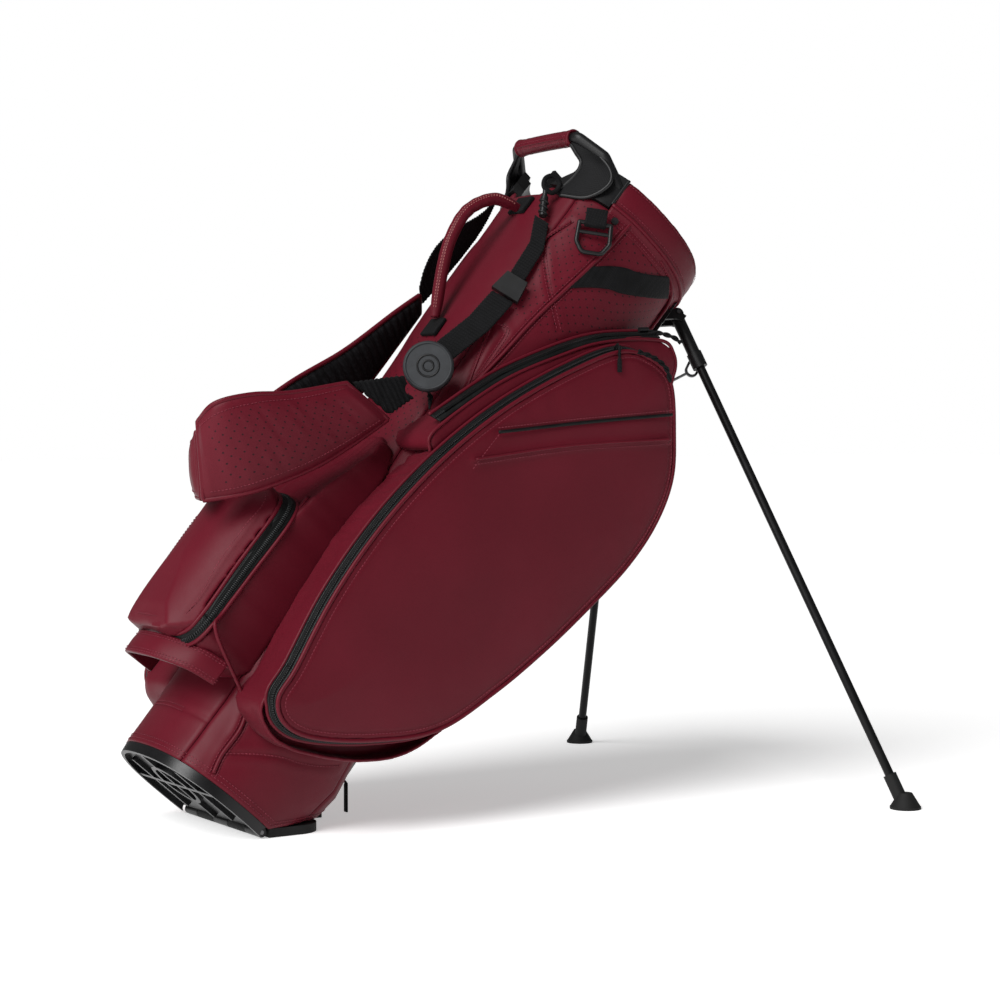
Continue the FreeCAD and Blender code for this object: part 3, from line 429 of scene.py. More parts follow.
def leather(name, dark, mid, light, rough=0.46, perforated=False):
    """Coated leather: pebble grain, mottled colour, uneven polish and, where marked, punched holes drawn as
    near-black dots of painted shade.
    """
    material, tree, shader = new_material(name)
    place = tree.nodes.new("ShaderNodeTexCoord").outputs["Object"]
    broad = texture(tree, "Noise", 7.0, place, Detail=3.0)
    cells = texture(tree, "Voronoi", 820.0, place, feature="DISTANCE_TO_EDGE")
    fine = texture(tree, "Noise", 1500.0, place, Detail=4.0)
    rub = texture(tree, "Noise", 46.0, place, Detail=5.0)
    colour = ramp(tree, broad.outputs[0], ((0.3, dark), (0.5, mid), (0.72, light)))
    grain = ramp(tree, cells.outputs[0], ((0.0, (0.82,)), (0.16, (1.0,))))
    tint = tree.nodes.new("ShaderNodeMix")
    tint.data_type = "RGBA"
    tint.blend_type = "MULTIPLY"
    tint.inputs[0].default_value = 1.0
    tree.links.new(colour, tint.inputs[6])
    tree.links.new(grain, tint.inputs[7])
    colour = tint.outputs[2]
    gloss = maths(tree, "MULTIPLY_ADD", rub.outputs[0], 0.22, rough - 0.11)
    edge = maths(tree, "MINIMUM", cells.outputs[0], 0.12)
    relief = maths(tree, "MULTIPLY_ADD", fine.outputs[0], 0.05, edge)
    if perforated:
        flat = tree.nodes.new("ShaderNodeTexCoord").outputs["UV"]
        turn = tree.nodes.new("ShaderNodeMapping")
        turn.inputs["Rotation"].default_value = (0, 0, math.radians(45))
        tree.links.new(flat, turn.inputs[0])
        dots = texture(tree, "Voronoi", 1 / 9.0, turn.outputs[0], Randomness=0.0,
                       voronoi_dimensions="2D")
        hole = ramp(tree, dots.outputs[0], ((0.09, (1.0,)), (0.13, (0.0,))))
        mark = tree.nodes.new("ShaderNodeAttribute")
        mark.attribute_name = "holes"
        hole = maths(tree, "MULTIPLY", hole, mark.outputs["Fac"])
        # painted shade: each punched hole is coloured near-black as the shadow inside it; the bump only dips
        # it
        painted_hole_shade = tree.nodes.new("ShaderNodeMix")
        painted_hole_shade.data_type = "RGBA"
        painted_hole_shade.inputs[7].default_value = (0.012, 0.003, 0.005, 1)
        tree.links.new(hole, painted_hole_shade.inputs[0])
        tree.links.new(colour, painted_hole_shade.inputs[6])
        colour = painted_hole_shade.outputs[2]
        relief = maths(tree, "SUBTRACT", relief, hole)
    tree.links.new(colour, shader.inputs["Base Color"])
    tree.links.new(gloss, shader.inputs["Roughness"])
    shader.inputs["Specular IOR Level"].default_value = 0.15
    shader.inputs["Sheen Weight"].default_value = 0.02
    shader.inputs["Sheen Roughness"].default_value = 0.4
    bump(tree, shader, relief, 0.32, 0.0006)
    return material


def woven(name, colour, pitch=1.1, rough=0.75):
    """Webbing, tape or thread: a fine twill of crossing threads."""
    material, tree, shader = new_material(name)
    place = tree.nodes.new("ShaderNodeTexCoord").outputs["Object"]
    warp = texture(tree, "Wave", 1000 / pitch / 6.3, place, bands_direction="DIAGONAL",
                   Distortion=0.4)
    weft = texture(tree, "Wave", 1000 / pitch / 5.2, place, bands_direction="Y",
                   Distortion=0.4)
    thread = maths(tree, "MULTIPLY", warp.outputs[1], weft.outputs[1])
    patch = texture(tree, "Noise", 60.0, place, Detail=3.0)
    level = maths(tree, "MULTIPLY_ADD", thread, 0.5, patch.outputs[0])
    low = tuple(c * 0.55 for c in colour)
    high = tuple(min(1.0, c * 1.7) for c in colour)
    tree.links.new(ramp(tree, level, ((0.3, low), (0.6, colour), (1.0, high))),
              shader.inputs["Base Color"])
    shine = maths(tree, "MULTIPLY_ADD", patch.outputs[0], 0.2, rough - 0.1)
    tree.links.new(shine, shader.inputs["Roughness"])
    shader.inputs["Sheen Weight"].default_value = 0.02
    shader.inputs["Specular IOR Level"].default_value = 0.12
    bump(tree, shader, thread, 0.5, 0.0005)
    return material


def moulded(name, colour, rough, grain=900.0, strength=0.12, metal=0.0, wear=1.5):
    """Moulded or coated parts: fine spark grain, uneven polish and faint handling marks."""
    material, tree, shader = new_material(name)
    place = tree.nodes.new("ShaderNodeTexCoord").outputs["Object"]
    fine = texture(tree, "Noise", grain, place, Detail=3.0)
    rub = texture(tree, "Noise", 38.0, place, Detail=6.0, Roughness=0.7)
    low = tuple(c * 0.8 for c in colour)
    high = tuple(min(1.0, c * wear) for c in colour)
    tree.links.new(ramp(tree, rub.outputs[0], ((0.35, low), (0.55, colour), (0.8, high))),
              shader.inputs["Base Color"])
    polish = maths(tree, "MULTIPLY_ADD", rub.outputs[0], 0.24, rough - 0.12)
    tree.links.new(polish, shader.inputs["Roughness"])
    shader.inputs["Metallic"].default_value = metal
    shader.inputs["Specular IOR Level"].default_value = 0.32
    bump(tree, shader, fine.outputs[0], strength, 0.0004)
    return material


REDS = ((0.098, 0.0050, 0.0125), (0.106, 0.0056, 0.0138), (0.117, 0.0064, 0.0156))
RED = leather("burgundy_leather", *REDS)
RED_HOLES = leather("burgundy_perforated", *REDS, perforated=True)
RED_TRIM = leather("burgundy_piping", *REDS, rough=0.4)
THREAD_RED = woven("burgundy_thread", (0.17, 0.026, 0.04), pitch=0.5, rough=0.6)
THREAD_PALE = woven("pale_red_thread", (0.36, 0.13, 0.12), pitch=0.5, rough=0.6)
WEB = woven("black_webbing", (0.0045, 0.0045, 0.005))
ELASTIC = woven("black_elastic", (0.005, 0.005, 0.0055), pitch=0.9, rough=0.6)
NEOPRENE = woven("black_neoprene", (0.005, 0.005, 0.0055), pitch=0.7, rough=0.85)
LINING = woven("black_spacer_mesh", (0.008, 0.008, 0.009), pitch=1.6, rough=0.8)
DIVIDER = woven("divider_fabric", (0.02, 0.02, 0.022), pitch=0.9, rough=0.8)
TAPE = woven("zip_tape", (0.005, 0.0055, 0.0055), pitch=0.7, rough=0.42)
COIL = moulded("zip_coil", (0.010, 0.011, 0.0115), 0.34)
PLASTIC = moulded("black_moulding", (0.006, 0.006, 0.0065), 0.42)
GLOSS = moulded("black_gloss_moulding", (0.004, 0.004, 0.0045), 0.36, strength=0.05)
RUBBER = moulded("black_rubber", (0.006, 0.006, 0.006), 0.72, grain=500.0, strength=0.3)
HUB = moulded("strap_hub", (0.026, 0.028, 0.031), 0.55, grain=1200.0, strength=0.2)
METAL = moulded("black_zip_metal", (0.03, 0.03, 0.031), 0.36, metal=0.7)
TUBE_METAL = moulded("black_tube", (0.008, 0.008, 0.0085), 0.38, metal=0.5)
STEEL = moulded("steel_wire", (0.16, 0.16, 0.165), 0.4, metal=1.0, wear=1.2)
GLASS = moulded("glass_fibre", (0.08, 0.08, 0.08), 0.6)

EDGE_RADIUS = 0.0006     # metres
CAD_FINISH = {
    GLOSS: ["base_cup"],
    PLASTIC: ["cuff_collar", "lift_handle", "top_divider", "leg_bracket", "rod_guides", "near_leg_sleeve",
              "far_leg_sleeve", "ladder_lock", "towel_ring"],
    RUBBER: ["base_flap", "near_leg_foot", "far_leg_foot"],
    HUB: ["hub_base", "hub_cap"],
    TAPE: ["near_side_zip", "far_side_zip", "valuables_zip", "ball_zip"],
    METAL: ["near_zip_slider", "far_zip_slider", "valuables_slider", "ball_slider", "strap_hook",
            "snap_studs"],
    TUBE_METAL: ["near_leg_tube", "far_leg_tube"],
    STEEL: ["actuator_rod", "near_link", "far_link", "flap_hinge_pin", "leg_pins"],
    GLASS: ["tube_stays"],
    DIVIDER: ["full_length_dividers"],
}
for finish, names in CAD_FINISH.items():
    for cad_name in names:
        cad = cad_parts[cad_name]
        cad.data.materials.clear()
        cad.data.materials.append(finish)
        bevel = cad.modifiers.new("soft_edges", "BEVEL")
        bevel.width = EDGE_RADIUS
        bevel.segments = 2
        bevel.limit_method = "ANGLE"
        bevel.angle_limit = math.radians(38)


# ---------------------------------------------------------------- the tube's sewn panels
def low_edge(degrees):
    """Where the skin stops above the rim, or above the base flap."""
    z = np.full(np.shape(degrees), 12.0)
    for _ in range(12):
        x = skin(degrees, z)[..., 0]
        z = np.where(x > 40.8, np.maximum(12.0, (x - SOLE_EDGE_X) * math.tan(LEAN) + 15.4), 12.0)
    return z


MM_PER_DEG = 2.0
NEAR_SEAMS = {
    "rear": [(-135, 801), (-144, 762), (-146, 725), (-142, 668), (-126, 542)],
    "yoke": [(-144, 762), (-123, 716), (-102, 680)],
    "kink": [(-133, 639), (-126, 633), (-126, 534)],
    "low_front": [(-118, 47), (-90, 84), (-62, 117)],
}
DIAGONAL_PIPING = [(-103, 851), (-105, 810), (-108, 765), (-112, 720), (-116, 674), (-121, 600), (-127, 534)]
ROOT_PIPING = [(-77, 690), (-96, 632), (-118, 550), (-129, 457), (-136, 341), (-137, 234), (-132, 144),
               (-122, 77)]
SPINE_PIPING = [(-144, 241), (-136, 170), (-128, 109), (-122, 77), (-121, 42), (-118, 20)]
SPINE_SEAM = [(-194, 64), (-180, 65), (-166, 64), (-126, 65)]


SIDES = ((-1, "near"), (1, "far"))


def sided(path, side):
    """A near-side path of (degrees, z), mirrored for the far side."""
    return path if side < 0 else [(-a, z) for a, z in path]


def tube_panel(name, start, end, top, seams, seed, holes):
    """One skin panel: it dips along its seams and swells softly between them."""
    nu = int((end - start) * MM_PER_DEG / 2.5)
    nv = 300
    degrees = np.linspace(start, end, nu)[:, None]
    low = low_edge(degrees)
    z = low + (top(degrees) - low) * np.linspace(0, 1, nv)[None, :]
    degrees = np.broadcast_to(degrees, z.shape)
    u = degrees * MM_PER_DEG
    edge = np.minimum(u - start * MM_PER_DEG, end * MM_PER_DEG - u)
    rise = 0.7 + 0.7 * noise2(u, z, 70, seed) + 0.35 * noise2(u, z, 22, seed + 1)
    rise = rise - 1.5 * np.exp(-((edge / 3.0) ** 2))
    for path in seams:
        d = distance_to(u, z, [(a * MM_PER_DEG, b) for a, b in path])
        rise = rise - 1.0 * np.exp(-((d / 1.5) ** 2)) + 0.55 * np.exp(-(((d - 8) / 5) ** 2))
    outer = skin(degrees, z, rise)
    inner = skin(degrees, z, -2.8)
    uv = np.stack([u, z], -1)
    shell_obj = shell(name + "_leather", outer, inner, RED_HOLES, uv=uv, marks=holes(degrees, z))
    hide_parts(name)
    return shell_obj


def flat_top(degrees):
    return np.full(np.shape(degrees), 840.0)


def scooped_top(degrees):
    y = np.abs(skin(degrees, 835.0)[..., 1])
    return np.where(y < 28, 828.0, np.minimum(840.0, 828.0 + (y - 28) * 1.06))


def upper_holes(degrees, z):
    return ((z > 660) & (z < 836)).astype(float)


def spine_holes(degrees, z):
    return ((z > 455) & (z < 600)).astype(float)


def no_holes(degrees, z):
    return np.zeros(np.shape(z))


near = list(NEAR_SEAMS.values()) + [DIAGONAL_PIPING, ROOT_PIPING, SPINE_PIPING]
far = [sided(path, 1) for path in near]
tube_panel("near_side_panel", -141.8, -48.2, flat_top, near, 11, upper_holes)
tube_panel("far_side_panel", 48.2, 141.8, flat_top, far, 21, upper_holes)
tube_panel("spine_panel", -217.8, -142.2, scooped_top, [SPINE_SEAM, SPINE_PIPING], 31, spine_holes)
tube_panel("front_panel", -47.8, 47.8, flat_top, [[(-40, 330), (40, 330)]], 41, no_holes)


def both_sides(name, path, offset, radius):
    """The same piping on the near side and, mirrored, on the far side."""
    for side, label in SIDES:
        tube(f"{label}_{name}", on_skin(sided(path, side), offset), radius, RED_TRIM)


both_sides("diagonal_piping", DIAGONAL_PIPING, 2.0, 2.3)
both_sides("pocket_root_piping", ROOT_PIPING, 2.0, 2.2)
both_sides("spine_piping", SPINE_PIPING, 2.2, 2.2)
both_sides("front_piping", [(-80, 840), (-60, 836), (-48, 822), (-48, 780), (-48, 700)], 2.0, 2.2)
both_sides("upper_rear_piping", NEAR_SEAMS["rear"], 1.6, 1.6)

for side, label in SIDES:
    runs = []
    for key, path in NEAR_SEAMS.items():
        for shift in (-2.2, 2.2):
            rise = 0 if key in ("rear", "kink") else shift * 0.6
            moved = [(a + shift / MM_PER_DEG, z + rise) for a, z in path]
            runs.append(on_skin(sided(moved, side), 1.7))
    for shift in (-5.0, 5.0):
        for path in (DIAGONAL_PIPING, SPINE_PIPING):
            moved = [(a + shift / MM_PER_DEG, z) for a, z in path]
            runs.append(on_skin(sided(moved, side), 1.9))
    dashes(label + "_panel_stitching", runs, THREAD_RED)
turn = np.arange(-180, 181, 1.0)
dashes("lower_hem_stitching", [even(skin(turn, low_edge(turn) + rise, 1.6), 2.0) for rise in (5.0, 10.0)],
       THREAD_RED)
runs = [on_skin([(-166, 64 + rise), (-180, 65 + rise), (-194, 64 + rise)], 1.8) for rise in (-2.2, 2.2)]
dashes("spine_stitching", runs, THREAD_RED)


# ---------------------------------------------------------------- side pockets
RING = side_outline(6.0)
RING_CENTRE = RING.mean(0)
FLARE = 7.0             # how far the zip band leans out
FACE_Y, BAND_DEPTH = 170.0, 16.0
GUSSET_EDGE_Y = 152.6
FACE_STITCH_Y = 175.1
SLASH_Y = 178.6         # the swollen face at the slash pocket
SLASH_TOP = [(-55, 507), (30, 596), (116, 683)]
SLASH_FOLD = [(-58, 464), (30, 560), (133, 659)]


def closed_polyline(ring):
    return [tuple(p) for p in ring] + [tuple(ring[0])]


def face_push(seed, side):
    """The face bulges softly; it puckers at its piping and steps at the slash pocket."""
    def result(points, normals):
        x, z = points[:, 0], points[:, 2]
        d = distance_to(x, z, closed_polyline(RING))
        swell = 6.5 * (1 - np.exp(-d / 34)) + 1.6 * noise2(x, z, 120, seed) * np.minimum(1, d / 60)
        swell += 0.7 * noise2(x + z, (z - x) * 0.35, 26, seed + 3) * np.exp(-d / 26)
        swell -= 1.2 * np.exp(-(((d - 7.5) / 1.5) ** 2))
        fold = distance_to(x, z, SLASH_FOLD)
        swell += 1.3 * np.exp(-((fold / 5) ** 2)) - 0.8 * np.exp(-((distance_to(x, z, SLASH_TOP) / 4) ** 2))
        moved = points.copy()
        moved[:, 1] += side * swell
        return moved
    return result


def gusset_push(seed):
    """Cross creases that run round a pocket's side."""
    def result(points, normals):
        away = unit(points[:, [0, 2]] - RING_CENTRE)
        turn = np.degrees(np.arctan2(away[:, 1], away[:, 0]))
        crease = noise2(turn * 4.0, points[:, 1] * 0.35, 16, seed)
        crease = crease + 0.5 * noise2(turn * 9.0, points[:, 1], 14, seed + 1)
        reach = np.abs(points[:, 1])
        depth = np.clip((reach - 70) / 20, 0, 1) * np.clip((156 - reach) / 14, 0, 1)
        moved = points.copy()
        flare = FLARE * np.clip((reach - 95) / 55, 0, 1) * leaning(away)
        lift_by = (crease * 1.5 + 1.0) * depth + flare
        moved[:, 0] += away[:, 0] * lift_by
        moved[:, 2] += away[:, 1] * lift_by
        return moved
    return result


def outline_normals(ring):
    return lift(ring_normals(ring), 0.0)


for side, label in SIDES:
    soften(label + "_side_face", label + "_pocket_face", 2.2, RED, face_push(51 + side, side), smooth=4)
    soften(label + "_side_pocket", label + "_pocket_gusset", 2.4, RED, gusset_push(61 + side), smooth=5)
    tube(label + "_face_piping", lift(side_outline(4.0, 0.3), side * (FACE_Y + 1)), 2.5, RED_TRIM,
         closed=True)
    tube(label + "_gusset_piping", lift(slanted(4.0, 0.8, FLARE), side * GUSSET_EDGE_Y), 2.1, RED_TRIM,
         closed=True)
    dashes(label + "_face_stitching", [lift(side_outline(4.0, -7.0), side * FACE_STITCH_Y)], THREAD_RED)
    band = [lift(slanted(4.0, 0.4 + k * 0.2, FLARE * k), side * (FACE_Y - BAND_DEPTH * k))
            for k in np.linspace(0, 1, 5)]
    band_in = [lift(slanted(4.0, -1.4 + k * 0.2, FLARE * k), side * (FACE_Y - BAND_DEPTH * k))
               for k in np.linspace(0, 1, 5)]
    shell(label + "_zip_band", joined(band), joined(band_in), TAPE)
    coil = slanted(2.3, 1.0, FLARE * 0.5)
    spots = lift(coil, side * (FACE_Y - BAND_DEPTH / 2))
    teeth(label + "_zip_coil", spots, outline_normals(coil), COIL, closed=True, pitch=2.3, wide=5.2)
    for share in (0.2, 0.8):
        rail = lift(slanted(4.0, 0.7, FLARE * share), side * (FACE_Y - BAND_DEPTH * share))
        tube(f"{label}_zip_rail_{int(share * 10)}", rail, 0.6, COIL, closed=True, sides=6)
    slash = curve_through(SLASH_TOP, 3.0)
    tube(label + "_slash_binding", lift(slash, side * SLASH_Y), 1.9, TAPE, slot="black_webbing",
         up=(0, side, 0), flat=0.7)
    fold = curve_through(SLASH_FOLD, 3.0)
    tube(label + "_slash_lip", lift(fold, side * 179.2), 1.5, RED_TRIM)
    rows = [lift(curve_through([(a + 3, b - 5) for a, b in SLASH_FOLD], 3.0), side * 179.4)]
    rows.append(lift(curve_through([(a - 3, b + 4) for a, b in SLASH_TOP], 3.0), side * 178.9))
    rows.append(lift(curve_through([(-54, 455), (-53.5, 482), (-53, 508)], 3.0), side * 178.2))
    dashes(label + "_slash_stitching", rows, THREAD_RED)


# ---------------------------------------------------------------- valuables pocket
VALUABLES = [
    (-104, 470), (-74, 566), (-32, 645), (4, 698), (62, 754), (88, 756), (104, 738),
    (106, 700), (30, 660), (-20, 590), (-60, 520), (-84, 452), (-98, 448),
]
VALUABLES_RING = curve_through(VALUABLES, 3.0, closed=True)
VALUABLES_TOP = curve_through([(-107, 478), (-76, 568), (-34, 648), (3, 701), (60, 757)], 2.3)


def valuables_push(points, normals):
    x, z = points[:, 0], points[:, 2]
    d = distance_to(x, z, closed_polyline(VALUABLES_RING))
    front = np.clip((-points[:, 1] - 120) / 20, 0, 1)
    moved = points.copy()
    moved[:, 1] -= front * (3.0 * (1 - np.exp(-d / 9)) + 0.8 * noise2(x, z, 30, 71))
    return moved


soften("valuables_pocket", "valuables_pocket_leather", 2.6, RED, valuables_push, smooth=5)
tube("valuables_piping", lift(grown(VALUABLES_RING, 0.4), -145.6), 2.2, RED_TRIM, closed=True)
normal = np.gradient(VALUABLES_TOP, axis=0)
normal = unit(np.stack([-normal[:, 1], np.zeros(len(normal)), normal[:, 0]], 1))
rows = [lift(VALUABLES_TOP, -146.0 + 15.0 * k) + normal * (0.8 + 7.5 * k) for k in np.linspace(0, 1, 5)]
shell("valuables_zip_band", np.stack(rows, 1), np.stack([row - normal * 1.6 for row in rows], 1), TAPE)
teeth("valuables_zip_coil", lift(VALUABLES_TOP, -138.5) + normal * 5.4, normal, COIL, wide=4.6)
tube("valuables_upper_piping", lift(VALUABLES_TOP, -130.0) + normal * 9.0, 2.2, RED_TRIM)


# ---------------------------------------------------------------- ball pocket
BALL = np.array([
    (-74, 150), (-75, 220), (-74, 290), (-52, 314), (0, 318), (52, 314), (74, 290),
    (75, 220), (74, 150), (58, 123), (0, 116), (-58, 123),
], float)
BALL_RING = curve_through(BALL, 3.0, closed=True)
BALL_WALL_X = -150.5     # where the zip band meets the walls
FACE_X = np.array([(90, -176), (116, -182), (140, -191), (200, -200), (262, -203), (300, -198), (330, -184)],
                  float)


def ball_front(ring, proud):
    """(y, z) ring lifted to the front of the ball pocket's face."""
    x = np.interp(ring[:, 1], FACE_X[:, 0], FACE_X[:, 1])
    drop = (np.abs(ring[:, 0]) / 75) ** 2 * 26
    return np.stack([np.minimum(x + drop, -166) - proud, ring[:, 0], ring[:, 1]], 1)


def ball_push(points, normals):
    y, z = points[:, 1], points[:, 2]
    d = distance_to(y, z, closed_polyline(BALL_RING))
    moved = points.copy()
    soft = 3.0 * (1 - np.exp(-d / 16)) + 1.2 * noise2(y, z, 48, 81) * np.minimum(1, d / 20)
    moved[:, 0] -= soft * np.clip((-points[:, 0] - 168) / 10, 0, 1)
    return moved


def ball_wall_push(points, normals):
    """Pleats gathered at the top of the ball pocket, easing out down its sides."""
    pleat = np.exp(-(((points[:, 2] - 440) / 30) ** 2)) * np.sin(points[:, 1] * 0.42)
    crease = noise2(points[:, 2], points[:, 1] * 0.4, 24, 91)
    crease = crease + 0.5 * noise2(points[:, 2], points[:, 1], 11, 92)
    return points + normals * (pleat * 1.4 + crease * 1.3)[:, None]


soften("ball_face", "ball_pocket_face", 2.2, RED, ball_push, smooth=7, uv=lambda p: p[:, 1:])
soften("ball_pocket", "ball_pocket_leather", 2.6, RED, ball_wall_push, smooth=7, uv=lambda p: p[:, 1:])
ball_in = np.stack([np.interp(BALL_RING[:, 1], [90, 210, 330], [-162, -167.5, -169.6]), BALL_RING[:, 0],
                    BALL_RING[:, 1]], 1)
tube("ball_face_piping", ball_in, 2.4, RED_TRIM, closed=True)
tube("ball_wall_piping", np.column_stack([np.full(len(BALL_RING), BALL_WALL_X), grown(BALL_RING, 8.6)]),
     2.3, RED_TRIM, closed=True)


def ball_band(share, rise, step=3.0):
    """A ring on the slanted zip band, share 0 at the face and 1 at the walls."""
    ring = grown(curve_through(BALL, step, closed=True), rise + 7.6 * share)
    front = np.interp(ring[:, 1], [90, 210, 330], [-161, -166.5, -168.6])
    return np.column_stack([front + (BALL_WALL_X - front) * share, ring])


rows = [ball_band(k, 1.6) for k in np.linspace(0, 1, 5)]
under = [ball_band(k, 0.0) for k in np.linspace(0, 1, 5)]
shell("ball_zip_band", joined(rows), joined(under), TAPE)
ball_coil = ball_band(0.5, 2.2, 2.3)
ball_normal = np.roll(ball_coil, -1, 0) - np.roll(ball_coil, 1, 0)
ball_normal = unit(np.stack([np.full(len(ball_coil), -70.0), -ball_normal[:, 2] * 20,
                             ball_normal[:, 1] * 20], 1))
teeth("ball_zip_coil", ball_coil, ball_normal, COIL, closed=True, wide=5.2)
BALL_EDGE = [(-148, -72, 330), (-150.5, -79, 262), (-150.5, -84, 167), (-146, -91, 140)]
BALL_EDGE += [tuple(v) for v in skin([-130, -122, -121, -118], [104, 77, 42, 20], 2.0)]
tube("ball_outer_piping", curve_through(BALL_EDGE, 3.0), 2.2, RED_TRIM)
dashes("ball_face_stitching", [ball_front(grown(BALL_RING, -8.0), 4.2)], THREAD_RED)


# ---------------------------------------------------------------- cuff
def cuff_push(points, normals):
    turn = np.degrees(np.arctan2(points[:, 1], points[:, 0] + 14))
    return points + normals * (0.8 * noise2(turn * 2.2, points[:, 2], 40, 101) + 0.4)[:, None]


cuff = soften("cuff_cover", "cuff_wrap", 2.2, RED, cuff_push, smooth=12,
              uv=lambda p: np.stack([np.degrees(np.arctan2(p[:, 1], p[:, 0] + 14)) * 2.2, p[:, 2]], 1))
hem = np.linspace(-119, 119, 120)
hem_turn, hem_z = np.broadcast_arrays(hem[:, None], np.linspace(829, 849, 13)[None, :])
hem_rise = 1.8 + 4.6 * np.clip((hem_z - 838) / 8, 0, 1) ** 1.3 + 0.25 * noise2(hem_turn * 2, hem_z, 14, 103)
hem_uv = np.stack([hem_turn * MM_PER_DEG, hem_z], -1)
shell("cuff_hem_band", skin(hem_turn, hem_z, hem_rise), skin(hem_turn, hem_z, hem_rise - 1.6), RED, uv=hem_uv)
dashes("cuff_band_stitching", [skin(hem, np.full(120, 832.0), 2.4), skin(hem, np.full(120, 836.5), 2.6)],
       THREAD_RED)
tube("cuff_hem_binding", skin(hem, np.full(120, 846.0), 5.4), 2.6, RED_TRIM)
dashes("cuff_hem_stitching", [skin(hem, np.full(120, 853.0), 6.9), skin(hem, np.full(120, 880.0), 6.4)],
       THREAD_RED)
for side, label in SIDES:
    edge = skin(side * 119.4, np.linspace(846, 885, 24), 5.6)
    tube(label + "_cuff_end_binding", edge, 2.2, PLASTIC)


# ---------------------------------------------------------------- handles
HANDLE_INNER = [(-146, -58, 889), (-139, -68, 881), (-130, -80, 870), (-124, -72, 854), (-123, -55, 831)]
HANDLE_OUTER = [(-150, -58, 906), (-129, -81, 894), (-107, -105, 880), (-98, -111, 862), (-103, -94, 838),
                (-120, -62, 829)]


def handle_gusset(side, label):
    """The satin plate that widens from the end of the grip into the cuff."""
    edges = []
    for path in (HANDLE_INNER, HANDLE_OUTER):
        line = curve_through([(x, -side * y, z) for x, y, z in path], 1.0)
        edges.append(resampled(line, 60))
    share = np.linspace(0, 1, 17)[None, :, None]
    plate = edges[0][:, None] * (1 - share) + edges[1][:, None] * share
    out = np.array([-0.62, side * 0.78, 0.0])
    crown = np.sin(share * math.pi) * 1.6
    shell(label + "_handle_gusset", plate + out * (crown + 1.5), plate - out * 3.0, ELASTIC)
    for k, edge in enumerate(edges):
        tube(f"{label}_gusset_edge_{k}", edge, 2.6, PLASTIC, sides=12)


for side, label in SIDES:
    handle_gusset(side, label)


grip_y = np.linspace(-57, 57, 60)
grip_path = np.stack([np.full(60, -148.0), grip_y, 898 + 1.2 * np.cos(grip_y / 57 * 1.57)], 1)
grip_r = 10.2 + 0.35 * np.cos(grip_y * 0.5) * np.exp(-(((np.abs(grip_y) - 50) / 14) ** 2))
grip = tube("lift_grip_leather", grip_path, grip_r, RED, sides=28)
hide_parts("lift_grip")
seam = grip_path + np.array([-7.6, 0, -7.0])
tube("lift_grip_seam", seam[2:-2], 0.9, RED_TRIM, sides=8)
dashes("lift_grip_stitching", [(grip_path + np.array([-9.5, 0, -4.4]))[3:-3],
                               (grip_path + np.array([-4.4, 0, -9.5]))[3:-3]],
       THREAD_RED)
for end in (-57, 57):
    ring = full_turn(32)
    loop = np.stack([-148 + 9.6 * np.cos(ring), np.full(32, float(end)), 898 + 9.6 * np.sin(ring)], 1)
    tube(f"lift_grip_cap_{'near' if end < 0 else 'far'}", loop, 1.6, RED_TRIM, closed=True)

HANDLE = curve_through([
    (-129, -10, 803), (-146, -10, 797), (-164, -10, 786), (-178, -10, 762), (-182, -10, 738),
    (-176, -10, 706), (-164, -10, 678), (-147, -10, 648), (-131, -10, 622),
], 2.5)
along = np.linspace(0, 1, len(HANDLE))
thick = 7.6 * (1 - 0.25 * np.exp(-((along / 0.06) ** 2)) - 0.25 * np.exp(-(((1 - along) / 0.06) ** 2)))
thick = thick + 0.25 * np.sin(along * 90) * np.exp(-(((along - 0.35) / 0.16) ** 2))
handle = tube("side_handle_leather", HANDLE, thick, RED, sides=24)
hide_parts("side_handle")
handle_ahead = unit(np.gradient(HANDLE, axis=0))
for name, toward in (("a", (-0.85, -0.5, -0.25)), ("b", (-0.62, -0.78, -0.1))):
    toward = np.broadcast_to(np.array(toward), HANDLE.shape)
    toward = unit(toward - handle_ahead * np.sum(toward * handle_ahead, axis=1)[:, None])
    dashes("side_handle_stitching_" + name, [(HANDLE + toward * (thick + 0.1)[:, None])[5:-5]], THREAD_PALE,
           length=2.4, gap=1.4, radius=0.5)

soften("side_handle_tabs", "side_handle_anchors", 1.3, WEB, smooth=3)
GRAB = curve_through([(-108, -84), (-140, -70), (-164, -38), (-171, 0), (-164, 38), (-140, 70), (-108, 84)],
                     2.5)
grab_ahead = np.gradient(GRAB, axis=0)
grab_out = unit(np.stack([-grab_ahead[:, 1], grab_ahead[:, 0]], 1))
grab_out = -grab_out if grab_out[len(GRAB) // 2][0] > 0 else grab_out


def grab_row(height, proud):
    """One line along the grab strap. Its ends are sewn a little higher than its middle."""
    flat = GRAB + grab_out * proud
    return np.column_stack([flat, 83 + height + 13 * (np.abs(GRAB[:, 1]) / 84) ** 2])


swell = 1.4 * np.sin(np.linspace(0, math.pi, 15))
rows = [grab_row(h, 2.0 + k) for h, k in zip(np.linspace(0, 29, 15), swell)]
under = [grab_row(h, -2.0) for h in np.linspace(0, 29, 15)]
grab = shell("base_grab_strap", np.stack(rows, 1), np.stack(under, 1), RED)
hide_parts("base_handle")
GRAB_ROWS = ((2.5, 3.1), (5.5, 3.5), (23.5, 3.5), (26.5, 3.1))
dashes("base_grab_stitching", [grab_row(height, proud) for height, proud in GRAB_ROWS], THREAD_RED)
soften("ring_tab", "ring_tab_webbing", 1.1, WEB, smooth=3)
high = curve_through([(-108, 765), (-92, 797), (-68, 838)], 1.2)
low = curve_through([(-111, 726), (-86, 773), (-55, 823)], 1.2)
shares = np.linspace(0, 1, 90)
high, low = resampled(high, 90), resampled(low, 90)
across = np.linspace(0, 1, 15)[None, :]
